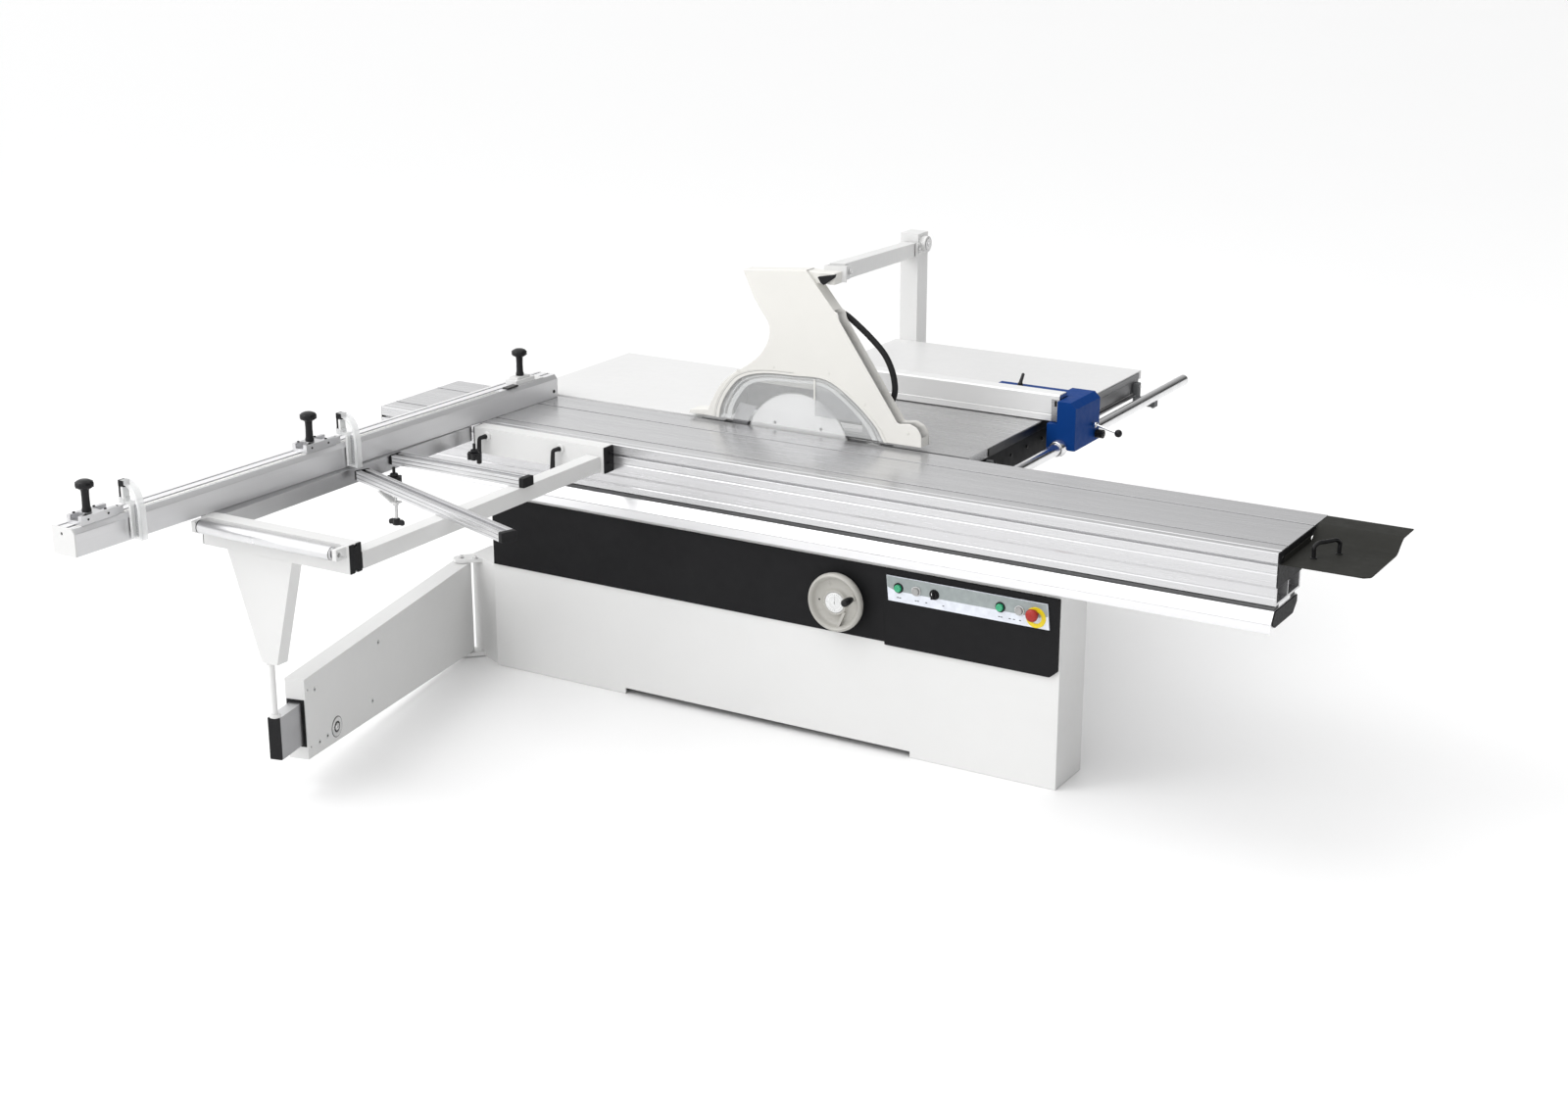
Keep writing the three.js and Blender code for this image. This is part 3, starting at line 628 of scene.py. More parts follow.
def slide_rail_and_table():
    """The fixed beam and the long sliding extrusion, with their end caps and dust strips."""
    x0, x1, y0, y1, z0, z1 = extents("slide_beam")
    top = z1 - 12
    outline = [
        (y0 + 22, top), *off(y0, z0, (3, 36), (0, 32), (0, 29), (2.5, 27), (2.5, 1), (3.5, 0),
                             (5.5, 0), (6.5, 1), (6.5, 22), (26, 12)),
        (y1 - 30, z0 + 12), (y1, z0 + 40), (y1, top),
        (y1 - 56, top), (y1 - 56, z1), (y0 + 58, z1), (y0 + 58, top),
    ]
    core = rounded([
        (y0 + 30, z0 + 20), (y1 - 34, z0 + 20), (y1 - 10, z0 + 44), (y1 - 10, z1 - 22),
        (y0 + 32, z1 - 22), (y0 + 18, z0 + 40),
    ], 3, 2)
    Shape().prism("x", outline, x0 + 4, x1 - 4, [core]).piece(
        "fixed_slide_beam", BEAM, "base", "bright_aluminium", ["slide_beam"], 0.8)
    end_pads("slide_beam_end_caps", "base", rounded([
        (y0 + 23.5, z1 - 13.5), (y0 + 4.5, z0 + 36), (y0 + 8, z0 + 25), (y0 + 27, z0 + 13.5),
        (y1 - 31, z0 + 13.5), (y1 - 1.5, z0 + 41), (y1 - 1.5, z1 - 13.5),
    ], 3, 3), x0, x1, 0.5, 3.8, 0.7)
    strip = Shape()
    for a, b in ((y0 + 26, y0 + 54), (y1 - 52, y1 - 12)):
        strip.block(x0 + 6, x1 - 6, a, b, z1 - 11.8, z1 - 2)
    strip.piece("slide_dust_strips", STRIP, "base", "black_rubber", bevel=1)

    x0, x1, y0, y1, z0, z1 = extents("sliding_table")
    inner = y0 + 208
    middle = (y0 + inner) / 2
    outline = [
        *off(y0, z1, (0, -2), (0, -30), (2.5, -32), (12.5, -32), (12.5, -38), (2.5, -38), (0, -40),
             (0, -60), (1.5, -61.5), (1.5, -64.5), (0, -66), (0, -99), (5, -107), (5, -132),
             (6.2, -133.5), (6.2, -136.5), (5, -138)),
        (y0 + 5, z0 + 1), (y0 + 6, z0), (inner - 1, z0), (inner, z0 + 1), (inner, z1 - 24),
        *off(y1, z1, (-36, -24), (0, -7), (0, -1), (-1, 0)),
        *t_slot(y1 - 115, y1 - 123, z1, 3, 1.5, 10.5), *t_slot(y0 + 84, y0 + 76, z1, 3, 1.5, 10.5),
        *off(y0, z1, (30, 0), (28.5, -1.2), (26.5, -1.2), (25, 0), (2, 0)),
    ]
    cores = (
        rect(y0 + 20, inner - 10, z1 - 92, z1 - 34), rect(y0 + 13, middle - 2, z0 + 7, z1 - 102),
        rect(middle + 2, inner - 10, z0 + 7, z1 - 102),
    )
    Shape().prism("x", outline, x0 + 3, x1 - 3, [rounded(c, 3, 2) for c in cores]).piece(
        "sliding_table_extrusion", TABLE_TOP, "carriage", "anodised_aluminium", ["sliding_table"], 0.5)
    end_pads("sliding_table_end_caps", "carriage", rounded([
        (y0 + 2, z1 - 1), (y0 + 2, z1 - 104), (inner - 2, z1 - 104), (inner - 2, z1 - 25.5),
        (y1 - 36, z1 - 25.5), (y1 - 2, z1 - 9), (y1 - 2, z1 - 1),
    ], 2.5, 3), x0, x1, 0.2, 2.8, 0.6)
    screws = Shape()
    for spot in ((y0 + 30, z1 - 20), (inner - 30, z1 - 88), (y1 - 60, z1 - 12)):
        for face, out in ((x0 + 0.4, -1), (x1 - 0.4, 1)):
            screws.lathe("x", spot, [(0, -1), (4.5, -1), (4.5, 0.1), (3.5, 0.4), (0, 0.4)], 20, face, out)
    screws.piece("sliding_table_cap_screws", ZINC, "carriage", "hard_chrome")


def push_plate():
    """Bent sheet at the end of the table, with a bar handle on two round feet."""
    x0, x1, y0, y1, z0, z1 = extents("push_plate")
    thick = 4
    low, high = z0 + 0.4, z0 + 36
    bend_a, bend_b = y0 + 250, y0 + 300
    under = [(y0, low), (bend_a, low), (bend_b, high), (y1, high)]
    sheet = rounded([(y, z + thick) for y, z in under] + under[::-1], 14, 6)
    plate = Shape().prism("x", sheet, x0 + 0.5, x1)
    for a, b, outward in ((9, 9, (1, -1, 0)), (3, 15, (1.0, -0.4, 0)), (15, 3, (0.4, -1.0, 0))):
        plate.trim((x1 - a, y0 + b, z0), outward)
    plate.block(x0 + 0.5, x0 + 3.5, y0 + 20, bend_a - 10, z0, z0 + 22)
    plate.piece("push_plate_sheet", OLIVE, "carriage", "dark_steel", ["push_plate"], 0.8)

    foot_a, foot_b = (Vector((x, y, z0 + 4.2)) for x, y in ((1868, -334), (1916, -258)))
    rise, top = Vector((0, 0, 34)), Vector((0, 0, 43.4))
    path = [foot_a, foot_a + rise * 0.5, foot_a + rise]
    path += [foot_a.lerp(foot_b, t) + top for t in (0.16, 0.35, 0.5, 0.65, 0.84)]
    path += [foot_b + rise, foot_b + rise * 0.5, foot_b]
    grip = Shape().tube(smooth_path(path, 5), 6, 18)
    for foot in (foot_a, foot_b):
        grip.rod("z", foot[:2], 10, foot.z - 0.1, foot.z + 3)
    grip.piece("push_plate_handle", KNOB, "carriage", "black_plastic")


def controls():
    """Cover, foil strip, buttons, selector and emergency stop."""
    x0, x1, y0, y1, z0, z1 = extents("control_cover")
    face = [(x0, z0), (x1 - 30, z0), (x1 - 5, z0 + 21), (x1 - 5, z1), (x0, z1)]
    Shape().prism("y", rounded(face, 4, 3), y0, y1).piece(
        "control_cover_sheet", BLACK, "base", "black_paint", ["control_cover"], 1.8)

    x0, x1, y0, y1, z0, z1 = extents("control_strip")
    middle = {name: centre_of(name) for name in (
        "start_button", "stop_button", "raise_button", "lower_button", "mode_selector", "emergency_stop",
    )}
    wells = [circle(c.x, c.z, 12.3, 40) for c in middle.values()]
    lean = 8
    plate = [(x0 + lean, z0), (x1, z0), (x1 - lean, z1), (x0, z1)]
    Shape().prism("y", plate, y0 + 0.4, y1, wells).piece(
        "control_strip_plate", PANEL_PALE, "base", "control_laminate", ["control_strip"], 0.6)
    Shape().prism("y", [
        (x0 + 4.5, z0 + 44), (x0 + 34, z0 + 34), (x1 - 34, z0 + 34), (x1 - 5.5, z0 + 42),
        (x1 - lean - 1, z1 - 1), (x0 + 1, z1 - 1),
    ], y0 + 0.1, y0 + 0.45, wells).piece("control_strip_grey_foil", PANEL_GREY, "base", "control_laminate")
    marks = Shape()
    for name, offsets in (
        ("start_button", (-5, 3)), ("stop_button", (-4, 4)), ("mode_selector", (-30, 28)),
        ("raise_button", (-6, 2)), ("lower_button", (-34, -20, 0)),
    ):
        for offset in offsets:
            x = middle[name].x + offset
            marks.block(x, x + 6, y0 - 0.05, y0 + 0.45, z0 + 13, z0 + 15.5)
    marks.piece("control_strip_blank_marks", KNOB, "base", "black_plastic")

    bezel = [(12.4, 0.6), (16.5, 0.6), (16.5, -1), (15.5, -2.6), (13.2, -3), (12.4, -2.2)]
    for tag, material, slot, names in (
        ("dark", KNOB, "black_plastic", ("start_button", "raise_button", "mode_selector")),
        ("grey", ZINC, "hard_chrome", ("stop_button", "lower_button")),
    ):
        rims = Shape()
        for name in names:
            rims.lathe("y", (middle[name].x, middle[name].z), bezel, base=y0)
        rims.piece("control_%s_bezels" % tag, material, "base", slot)
    for body, material in (("start", GREEN), ("stop", GREY), ("raise", GREEN), ("lower", GREY)):
        name = body + "_button"
        front, back = extents(name)[2:4]
        depth = back - front - 0.2
        Shape().lathe("y", (middle[name].x, middle[name].z), [
            (0, 1.6), (7, 1.2), (9.5, 0), (11, 0.4), (11.8, 1.6), (11.8, depth), (0, depth),
        ], base=front).piece(
            name + "_cap", material, body, "green_plastic" if material is GREEN else "grey_plastic", [name])

    c = middle["mode_selector"]
    front, back = extents("mode_selector")[2:4]
    knob = Shape().rod("y", (c.x, c.z), 11.6, back - 0.2, front + 11, 1.2, 48)
    blade = rounded([(-4, -11), (4, -11), (3, 11.5), (-3, 11.5)], 2, 3)
    knob.prism("y", off(c.x, c.z, *blade), front + 0.4, front + 12)
    knob.piece("mode_selector_knob", KNOB, "selector", "black_plastic", ["mode_selector"], 0.6)
    Shape().block(c.x - 0.8, c.x + 0.8, front + 0.2, front + 1, c.z + 2, c.z + 10).piece(
        "mode_selector_pointer", DIAL, "selector", "black_plastic")

    c = middle["emergency_stop"]
    front, back = extents("emergency_stop")[2:4]
    depth = back - front - 0.3
    Shape().lathe("y", (c.x + 4, c.z - 12), [
        (19, 0.3), (31, 0.3), (32.5, -0.7), (31.5, -1.9), (19, -2.2),
    ], 64, y0).piece("emergency_stop_disc", YELLOW, "base", "control_laminate")
    Shape().lathe("y", (c.x, c.z), [
        (0, 0.4), (8, 0.7), (14, 2), (18, 4.6), (19.8, 8), (19.9, 10.5), (18.8, 13), (15, 15),
        (11.8, 16.5), (11.8, depth), (0, depth),
    ], 64, front).piece(
        "emergency_stop_mushroom", RED, "estop", "red_plastic", ["emergency_stop"], angle=50)


def handwheel():
    """Dished tilt wheel with a white dial, a rib to the rim and a turning grip."""
    x0, x1, y0, y1, z0, z1 = extents("handwheel")
    hub = cx, cz = (x0 + x1) / 2, (z0 + z1) / 2
    wheel = Shape().lathe("y", hub, [
        (0, 12), (33, 12), (35, 8.5), (39, 8), (41, 10), (43, 17), (48, 20.5), (62, 22.5), (72, 21.5),
        (76.5, 17), (79, 9), (82, 3), (86.5, 0.4), (91, 2.2), (94, 7.5), (94.9, 15), (93.5, 24),
        (90, 30), (84, 34), (60, 34), (34, 38), (26, 44), (22, 52.8), (0, 52.8),
    ], 96, y0)
    a, b = Vector(polar(42, -38 / 360)), Vector(polar(82, -84 / 360))
    across = (b - a).orthogonal().normalized() * 4.5
    wheel.prism("y", off(cx, cz, a + across, b + across, b - across, a - across), y0 + 10, y0 + 24)
    boss = [(0, -2.6), (8, -2.6), (10, 0), (12, 20), (14, 24), (0, 24)]
    wheel.lathe("y", (cx + 66, cz + 26), boss, 40, y0)
    wheel.piece("handwheel_dish", WHEEL, "tilt_wheel", "wheel_alloy", ["handwheel"], angle=40)

    dial = [(0, 7.6), (30, 7.8), (32.5, 9), (32.5, 12.6), (0, 12.6)]
    Shape().lathe("y", hub, dial, 64, y0).piece(
        "handwheel_dial_face", DIAL, "tilt_wheel", "wheel_alloy", angle=50)
    marks = Shape()
    ticks, half = 24, 0.35
    for i in range(ticks):
        inner = 22 if i % 6 == 0 else 25
        ray, side = Vector(polar(1, i / ticks)), Vector(polar(half, i / ticks + 0.25))
        corners = (ray * inner + side, ray * 28 + side, ray * 28 - side, ray * inner - side)
        marks.prism("y", off(cx, cz, *corners), y0 + 7.3, y0 + 8.6)
    marks.prism("y", off(cx, cz, (-1.1, -5), (1.1, -5), (0.3, 19), (-0.3, 19)), y0 + 6.9, y0 + 8.4)
    marks.rod("y", hub, 2, y0 + 8.4, y0 + 6.4, 0.4)
    marks.rod("y", (cx - 62, cz - 3), 3.2, y0 + 25, y0 + 21.9, 0.3)
    marks.piece("handwheel_dial_marks", KNOB, "tilt_wheel", "black_plastic")
    glass = [(0, 3.6), (22, 4.1), (30, 6), (32, 8), (33.5, 8.6), (33.5, 9.4), (0, 5)]
    Shape().lathe("y", hub, glass, 64, y0).piece(
        "handwheel_dial_glass", CLEAR, "tilt_wheel", "clear_plastic", angle=50)

    x0, x1, y0, y1, z0, z1 = extents("handwheel_grip")
    Shape().lathe("y", ((x0 + x1) / 2, (z0 + z1) / 2), [
        (0, 0.2), (6, 0.6), (10, 2.6), (11.8, 6), (12.3, 12), (11.7, 14), (11.7, 16), (12.3, 18),
        (11.4, 34), (9.6, 46), (8.2, 50.5), (0, 50.5),
    ], 48, y0).piece(
        "handwheel_grip_handle", KNOB, "wheel_grip", "black_plastic", ["handwheel_grip"], angle=50)


def mushroom_knob(tag, matrix, base, x, y):
    """Tall clamp knob: collar, slim neck and a domed, lobed head."""
    knob = Shape(matrix).lathe("z", (x, y), [
        (0, 0.2), (13, 0.2), (13.6, 1), (13.6, 8), (12.4, 11), (11.6, 16), (11, 40), (11.4, 60),
        (13, 65), (19, 68), (24.5, 72), (26, 77), (25.4, 82), (22, 88), (14, 92), (0, 93.2),
    ], 64, base)
    for spot in circle(x, y, 23.4, 10):
        knob.rod("z", spot, 2.6, base + 71, base + 86, 1.2, 12)
    node = "clamp_knob_" + tag
    knob.piece(node + "_handle", KNOB, "knob_" + tag, "black_plastic", [node], angle=45)


# ---------------------------------------------------------------- outrigger, fence and swing arm

def outrigger_frame():
    """End caps of the white frame and its rails, clamp levers with their sockets."""
    x0, x1, y0, y1, z0, z1 = extents("outrigger_rear_profile")
    caps = Shape()
    plate = rounded(rect(y0 + 1, y1 - 1, z0 + 1, z1 - 1), 4)
    caps.prism("x", plate, x1, x1 + 4).prism("x", plate, x0 - 4, x0)
    for spot in ((y0 + 32, z1 - 24), (y0 + 22, z0 + 34)):
        caps.rod("x", spot, 6.5, x1 + 3, x1 + 9, 1, 6)
        caps.rod("x", spot, 4, x1 + 8, x1 + 17)
    x0, x1, y0, y1, z0, z1 = extents("outrigger_front_profile")
    y0 = y1 - 50
    middle = (y0 + y1) / 2
    notch_a, notch_b = middle - 6, middle + 5
    notched = [
        (y0 + 1, z0 + 1), (notch_a, z0 + 1), (notch_a, z0 + 9), (notch_b, z0 + 9), (notch_b, z0 + 1),
        (y1 - 1, z0 + 1), (y1 - 1, z1 - 1), (notch_b, z1 - 1), (notch_b, z1 - 9), (notch_a, z1 - 9),
        (notch_a, z1 - 1), (y0 + 1, z1 - 1),
    ]
    right_end = -450
    caps.prism("x", notched, right_end, right_end + 4).prism("x", notched, x0 - 3, x0)
    caps.piece("outrigger_end_caps", CAP, "outrigger", "black_plastic", bevel=0.8)

    for name, matrix, length in (
        ("short_rail", placed(-434, -896, 840.3), 525.3),
        ("diagonal_rail", placed(-143, -1377, 840.3, -20), 835),
    ):
        sleeve = rounded(rect(-25.8, 25.8, -0.8, 30.2), 4, 4)
        tips = Shape(matrix).prism("x", sleeve, -17, 1.8)
        tips.prism("x", sleeve, -length - 1.8, -length + 8)
        tips.piece(name + "_end_caps", CAP, "outrigger", "black_plastic", bevel=1.2)
        ribs = Shape(matrix)
        for y, width, z, height in (
            (-25.4, 0.6, 8, 2.5), (-25.4, 0.6, 20, 2.5), (24.8, 0.6, 8, 2.5), (24.8, 0.6, 20, 2.5),
            (-17, 1, 29.2, 0.7), (16, 1, 29.2, 0.7),
        ):
            ribs.block(-length + 9, -18, y, y + width, z, z + height)
        ribs.piece(name + "_ribs", GROUND, "outrigger", "anodised_aluminium")

    sockets = Shape()
    hub, wall = 842, -500.6
    for side, x in (("left", -910), ("right", -611)):
        sockets.lathe("y", (x + 14, hub + 3), [
            (0, 0), (15, 0), (15, -2.4), (13, -6.9), (9, -7.4), (0, -7.4),
        ], 40, wall)
        path = smooth_path([
            (x + 12, -506.5, hub + 2), (x + 9, -516, hub + 2), (x + 1, -524.5, hub - 2),
            (x - 1, -526, hub - 14), (x - 3, -526, hub - 46), (x - 4.5, -526, hub - 85),
        ])
        lever = Shape().tube(path, lambda t: 8.6 - 1.8 * math.sin(math.pi * min(1, t * 1.1)), 20)
        lever.ball(path[-1], 8.4, 0.55)
        node = "clamp_lever_" + side
        lever.piece(node + "_handle", KNOB, "lever_" + side, "black_plastic", [node], angle=60)
    sockets.piece("clamp_lever_sockets", WHITE, "outrigger", "white_paint", angle=45)


def outrigger_fittings():
    """Star knobs, wing knob with its hanger, roller, and the folded support bracket with its foot."""
    knobs = Shape()
    for spot in ((-882, -590), (-925, -945)):
        knobs.prism("z", star(*spot, 25, 6), 790, 812)
        knobs.rod("z", spot, 13, 811, 822, 2)
        knobs.rod("z", spot, 5, 821, 842)
    knobs.piece("rail_star_knobs", KNOB, "outrigger", "black_plastic", bevel=3, segments=3)

    x, y, z = centre_of("rail_wing_knob")
    wing = Shape().rod("z", (x, y), 11, 738, 759, 2)
    wing.rod("z", (x, y), 13, 739.5, 742.5, 1)
    leaf = rounded([(6, 741), (27, 738.5), (28, 752), (20, 757), (6, 755)], 5, 4)
    for side in (-1, 1):
        wing.prism("y", [(x + side * u, v) for u, v in leaf], y - 4.5, y + 4.5)
    wing.piece("rail_wing_knob_grip", KNOB, "wing_knob", "black_plastic", ["rail_wing_knob"], 1.5)
    stem = Shape().rod("z", (x, y), 4.6, 757, 839.8)
    stem.rod("z", (x, y), 9, 800, 806, 1, 6)
    stem.piece("rail_wing_knob_stem", ZINC, "wing_knob", "hard_chrome")
    Shape().prism("y", rounded(off(
        x, 808, (-62, 31.8), (-56, 31.8), (-6, 4), (14, 4), (14, 0), (-8, 0),
    ), 1.5, 2), y - 14, y + 14).piece("rail_hanger", WHITE, "outrigger", "white_paint", bevel=0.6)

    x0, x1, y0, y1, z0, z1 = extents("outrigger_roller")
    axis = ((y0 + y1) / 2, (z0 + z1) / 2)
    r, a, b = (y1 - y0) / 2, x0 + 14, x1 - 14
    end = [(0, 0), (r - 4, 0), (r - 3, 1.5), (r - 0.6, 1.5), (r, 2.5)]
    length = b - a
    Shape().lathe("x", axis, end + [(radius, length - d) for radius, d in end[::-1]], 72, a).piece(
        "roller_tube", ROLLER, "roller", "hard_chrome", ["outrigger_roller"])
    Shape().rod("x", axis, 5.8, x0, a + 1).rod("x", axis, 5.8, b - 1, x1).piece(
        "roller_pins", ZINC, "roller", "hard_chrome")
    bands = Shape()
    for x in (a + 3, b - 6):
        bands.lathe("x", axis, [(r - 0.5, 0), (r + 0.15, 0), (r + 0.15, 3), (r - 0.5, 3)], 72, x)
    bands.piece("roller_bands", DARK_STEEL, "roller", "hard_chrome")

    x0, x1, y0, y1, z0, z1 = extents("support_bracket")
    foot, low, wall = (-800, -1680), 449, 3
    foot_a, foot_b = -816, -757
    sheet = Shape().prism("y", [(x0, z1), (x1, z1), (foot_b, low), (foot_a, low)], y0, y0 + wall)
    for top_x, foot_x, inward in ((x0, foot_a, wall), (x1, foot_b, -wall)):
        sheet.prism("y", [(top_x, z1), (top_x + inward, z1), (foot_x + inward, low), (foot_x, low)],
                    y0 + wall / 2, y1)
    sheet.block(x0 + 1, x1 - 1, y0 + 1, y1, z1 - wall, z1)
    sheet.block(foot_a + 1, foot_b - 1, y0 + 1, y1, low, low + 4)
    sheet.piece("support_bracket_sheet", WHITE, "outrigger", "white_paint", ["support_bracket"], 1.2)
    leg = Shape().rod("z", foot, 9, z0 + 8, low + 30)
    leg.rod("z", foot, 15, low - 10, low - 0.2, 1.2, 6)
    leg.lathe("z", foot, [(0, 0), (16, 0), (17, 1), (17, 6), (13, 10), (0, 10)], 40, z0)
    leg.piece("support_bracket_rod", WHITE, "outrigger", "white_paint", bevel=0.5)


FENCE_AT = placed(-947, -36, 870.3, -1.85)
FENCE_LENGTH = 2146


def crosscut_fence():
    """Slotted fence extrusion with its end plates, pivot block, scale and rear clamp knob."""
    outline = [
        (0, 1), (0, 64), (-1, 67), (-10, 79), (-12, 80), *t_slot(-30, -40, 80, 2, 1, 12),
        *t_slot(-66, -74, 80, 2, 1, 12), (-87, 80), (-88, 79), (-88, 1), (-87, 0), (-1, 0),
    ]
    core = rounded([(-5, 5), (-5, 60), (-14, 65), (-83, 65), (-83, 5)], 3, 2)
    Shape(FENCE_AT).prism("y", outline, -FENCE_LENGTH + 6, -1, [core]).piece(
        "fence_extrusion", FENCE_METAL, "fence", "bright_aluminium", ["crosscut_fence"], 0.5)
    end = rounded([(0.6, -0.2), (0.6, 66), (-10, 80.8), (-88.4, 80.8), (-88.4, -0.2)], 2, 3)
    plate = Shape(FENCE_AT).prism("y", end, -FENCE_LENGTH, -FENCE_LENGTH + 6, [circle(-50, 62, 4.5, 24)])
    plate.prism("y", end, -1, 0).piece("fence_end_plates", WHITE, "fence", "bright_aluminium", bevel=0.8)
    screws = Shape(FENCE_AT)
    for spot in ((-50, 62), (-20, 14), (-72, 14)):
        screws.rod("y", spot, 3.4, -FENCE_LENGTH + 5.4, -FENCE_LENGTH + 1.2)
    screws.rod("y", (-12, 60), 5, -1, 3)
    screws.rod("x", (-20, 24), 6, -0.5, 2, 0.6, 24)
    screws.piece("fence_screws", DARK_STEEL, "fence", "dark_steel")
    block = Shape(FENCE_AT).block(-62, -14, -205, -105, 80.2, 96)
    block.block(-56, -20, -190, -122, 95.6, 104).block(-62, -10, -105.5, -60, 80.2, 83)
    block.piece("fence_pivot_block", WHITE, "fence", "bright_aluminium", bevel=2.5, segments=3)
    Shape(FENCE_AT).block(-30, -4, -262, -206, 79.6, 85).piece(
        "fence_pivot_clip", DARK_STEEL, "fence", "dark_steel", bevel=1.5)
    Shape(FENCE_AT).block(-28, -13, -FENCE_LENGTH + 20, -300, 79.7, 80.25).piece(
        "fence_scale_strip", SCALE, "fence", "bright_aluminium")
    ticks = Shape(FENCE_AT)
    for i in range(92):
        y = -FENCE_LENGTH + 30 + i * 20
        ticks.block(-28 if i % 5 == 0 else -23, -18, y, y + 0.7, 80.2, 80.36)
    ticks.piece("fence_scale_ticks", KNOB, "fence", "black_plastic")
    mushroom_knob("c", FENCE_AT, 104, -38, -155)


def fence_stops():
    """Two stops on the fence, each a channel with screws, a clamp knob and a flip-over arch."""
    channel = [
        (-68, 80.4), (-8, 80.4), (-8, 104.5), (-9.5, 106), (-22, 106), (-22, 92), (-54, 92),
        (-54, 106), (-66.5, 106), (-68, 104.5),
    ]
    arch = [
        (-27, 113), (-27, 167), (-20, 173), (-8, 174), (6, 171), (18, 164), (30, 153), (39, 138),
        (46, 116), (49.5, 92), (49.5, 6), (40, 6), (40, 92), (37, 112), (31, 129), (22, 142),
        (11, 152), (1, 158), (-9, 160), (-11, 159), (-11, 113),
    ]
    for tag, y in (("a", -2108), ("b", -1226)):
        body, flip_body = "stop_" + tag, "flip_" + tag
        knob_y = y + 46
        stop = Shape(FENCE_AT).prism("y", channel, y, y + 130)
        stop.block(-53.8, -22.2, knob_y - 16, knob_y + 34, 91, 106)
        stop.block(-34, -14, y + 128, y + 155, 80.6, 100)
        stop.rod("z", (-38, knob_y), 13.5, 105.6, 106.4, 0.3)
        node = "stop_block_" + tag
        stop.piece(node + "_body", CROSS_Y, body, "bright_aluminium", [node], 1.2)
        bolts = Shape(FENCE_AT)
        for x, along, face in (
            (-15, 20, 106), (-15, 92, 106), (-61, 20, 106), (-61, 92, 106), (-24, 140, 100),
        ):
            cap_screw(bolts, "z", (x, y + along), face, 4, 1, 3)
        for along in (24, 96):
            bolts.rod("x", (y + along, 94), 3.4, -8.4, -6.8, 0.3, 24)
        bolts.piece(node + "_screws", DARK_STEEL, body, "dark_steel")

        node = "flip_stop_" + tag
        a, b = y + 156.5, y + 179.5
        flip = Shape(FENCE_AT).prism("y", arch, a, b)
        flip.prism("y", rect(-34, -6, 104, 124), a + 2, b - 2)
        flip.prism("y", [(3, 6), (13, 6), (13, 112), (-8, 112), (-8, 103), (3, 103)], a + 2, b - 2)
        flip.prism("y", rect(3, 40, 6, 13), a + 4, b - 4)
        flip.rod("y", (-20, 114), 9, a - 1, b + 1)
        flip.piece(node + "_arch", FROST, flip_body, "clear_plastic", [node], 1.6, segments=3)
        bar = Shape(FENCE_AT).prism("y", rect(-26.4, -11.6, 115, 153), a - 0.3, b + 0.3)
        bar.prism("y", rect(4.8, 12.2, 8, 101), a + 1.7, b - 1.7)
        bar.piece(node + "_bar", DIAL, flip_body, "clear_plastic", bevel=0.8)
        pane = [(13.4, 12), (39.6, 12), (39.6, 92), (37, 104), (13.4, 104)]
        Shape(FENCE_AT).prism("y", pane, b - 9, b - 6).piece(
            node + "_pane", SMOKE, flip_body, "clear_plastic", bevel=0.4)
        dark = Shape(FENCE_AT).block(-29, -6, a - 0.4, b + 0.4, 154, 172)
        dark.block(-28.2, -19, a - 0.4, b - 5, 122, 156).block(2, 4.4, a + 2, b - 8, 24, 66)
        dark.block(33.6, 36, a + 8, b - 8, 14, 60)
        dark.piece(node + "_inserts", CAP, flip_body, "black_plastic", bevel=1)
        mushroom_knob(tag, FENCE_AT, 106, -38, knob_y)


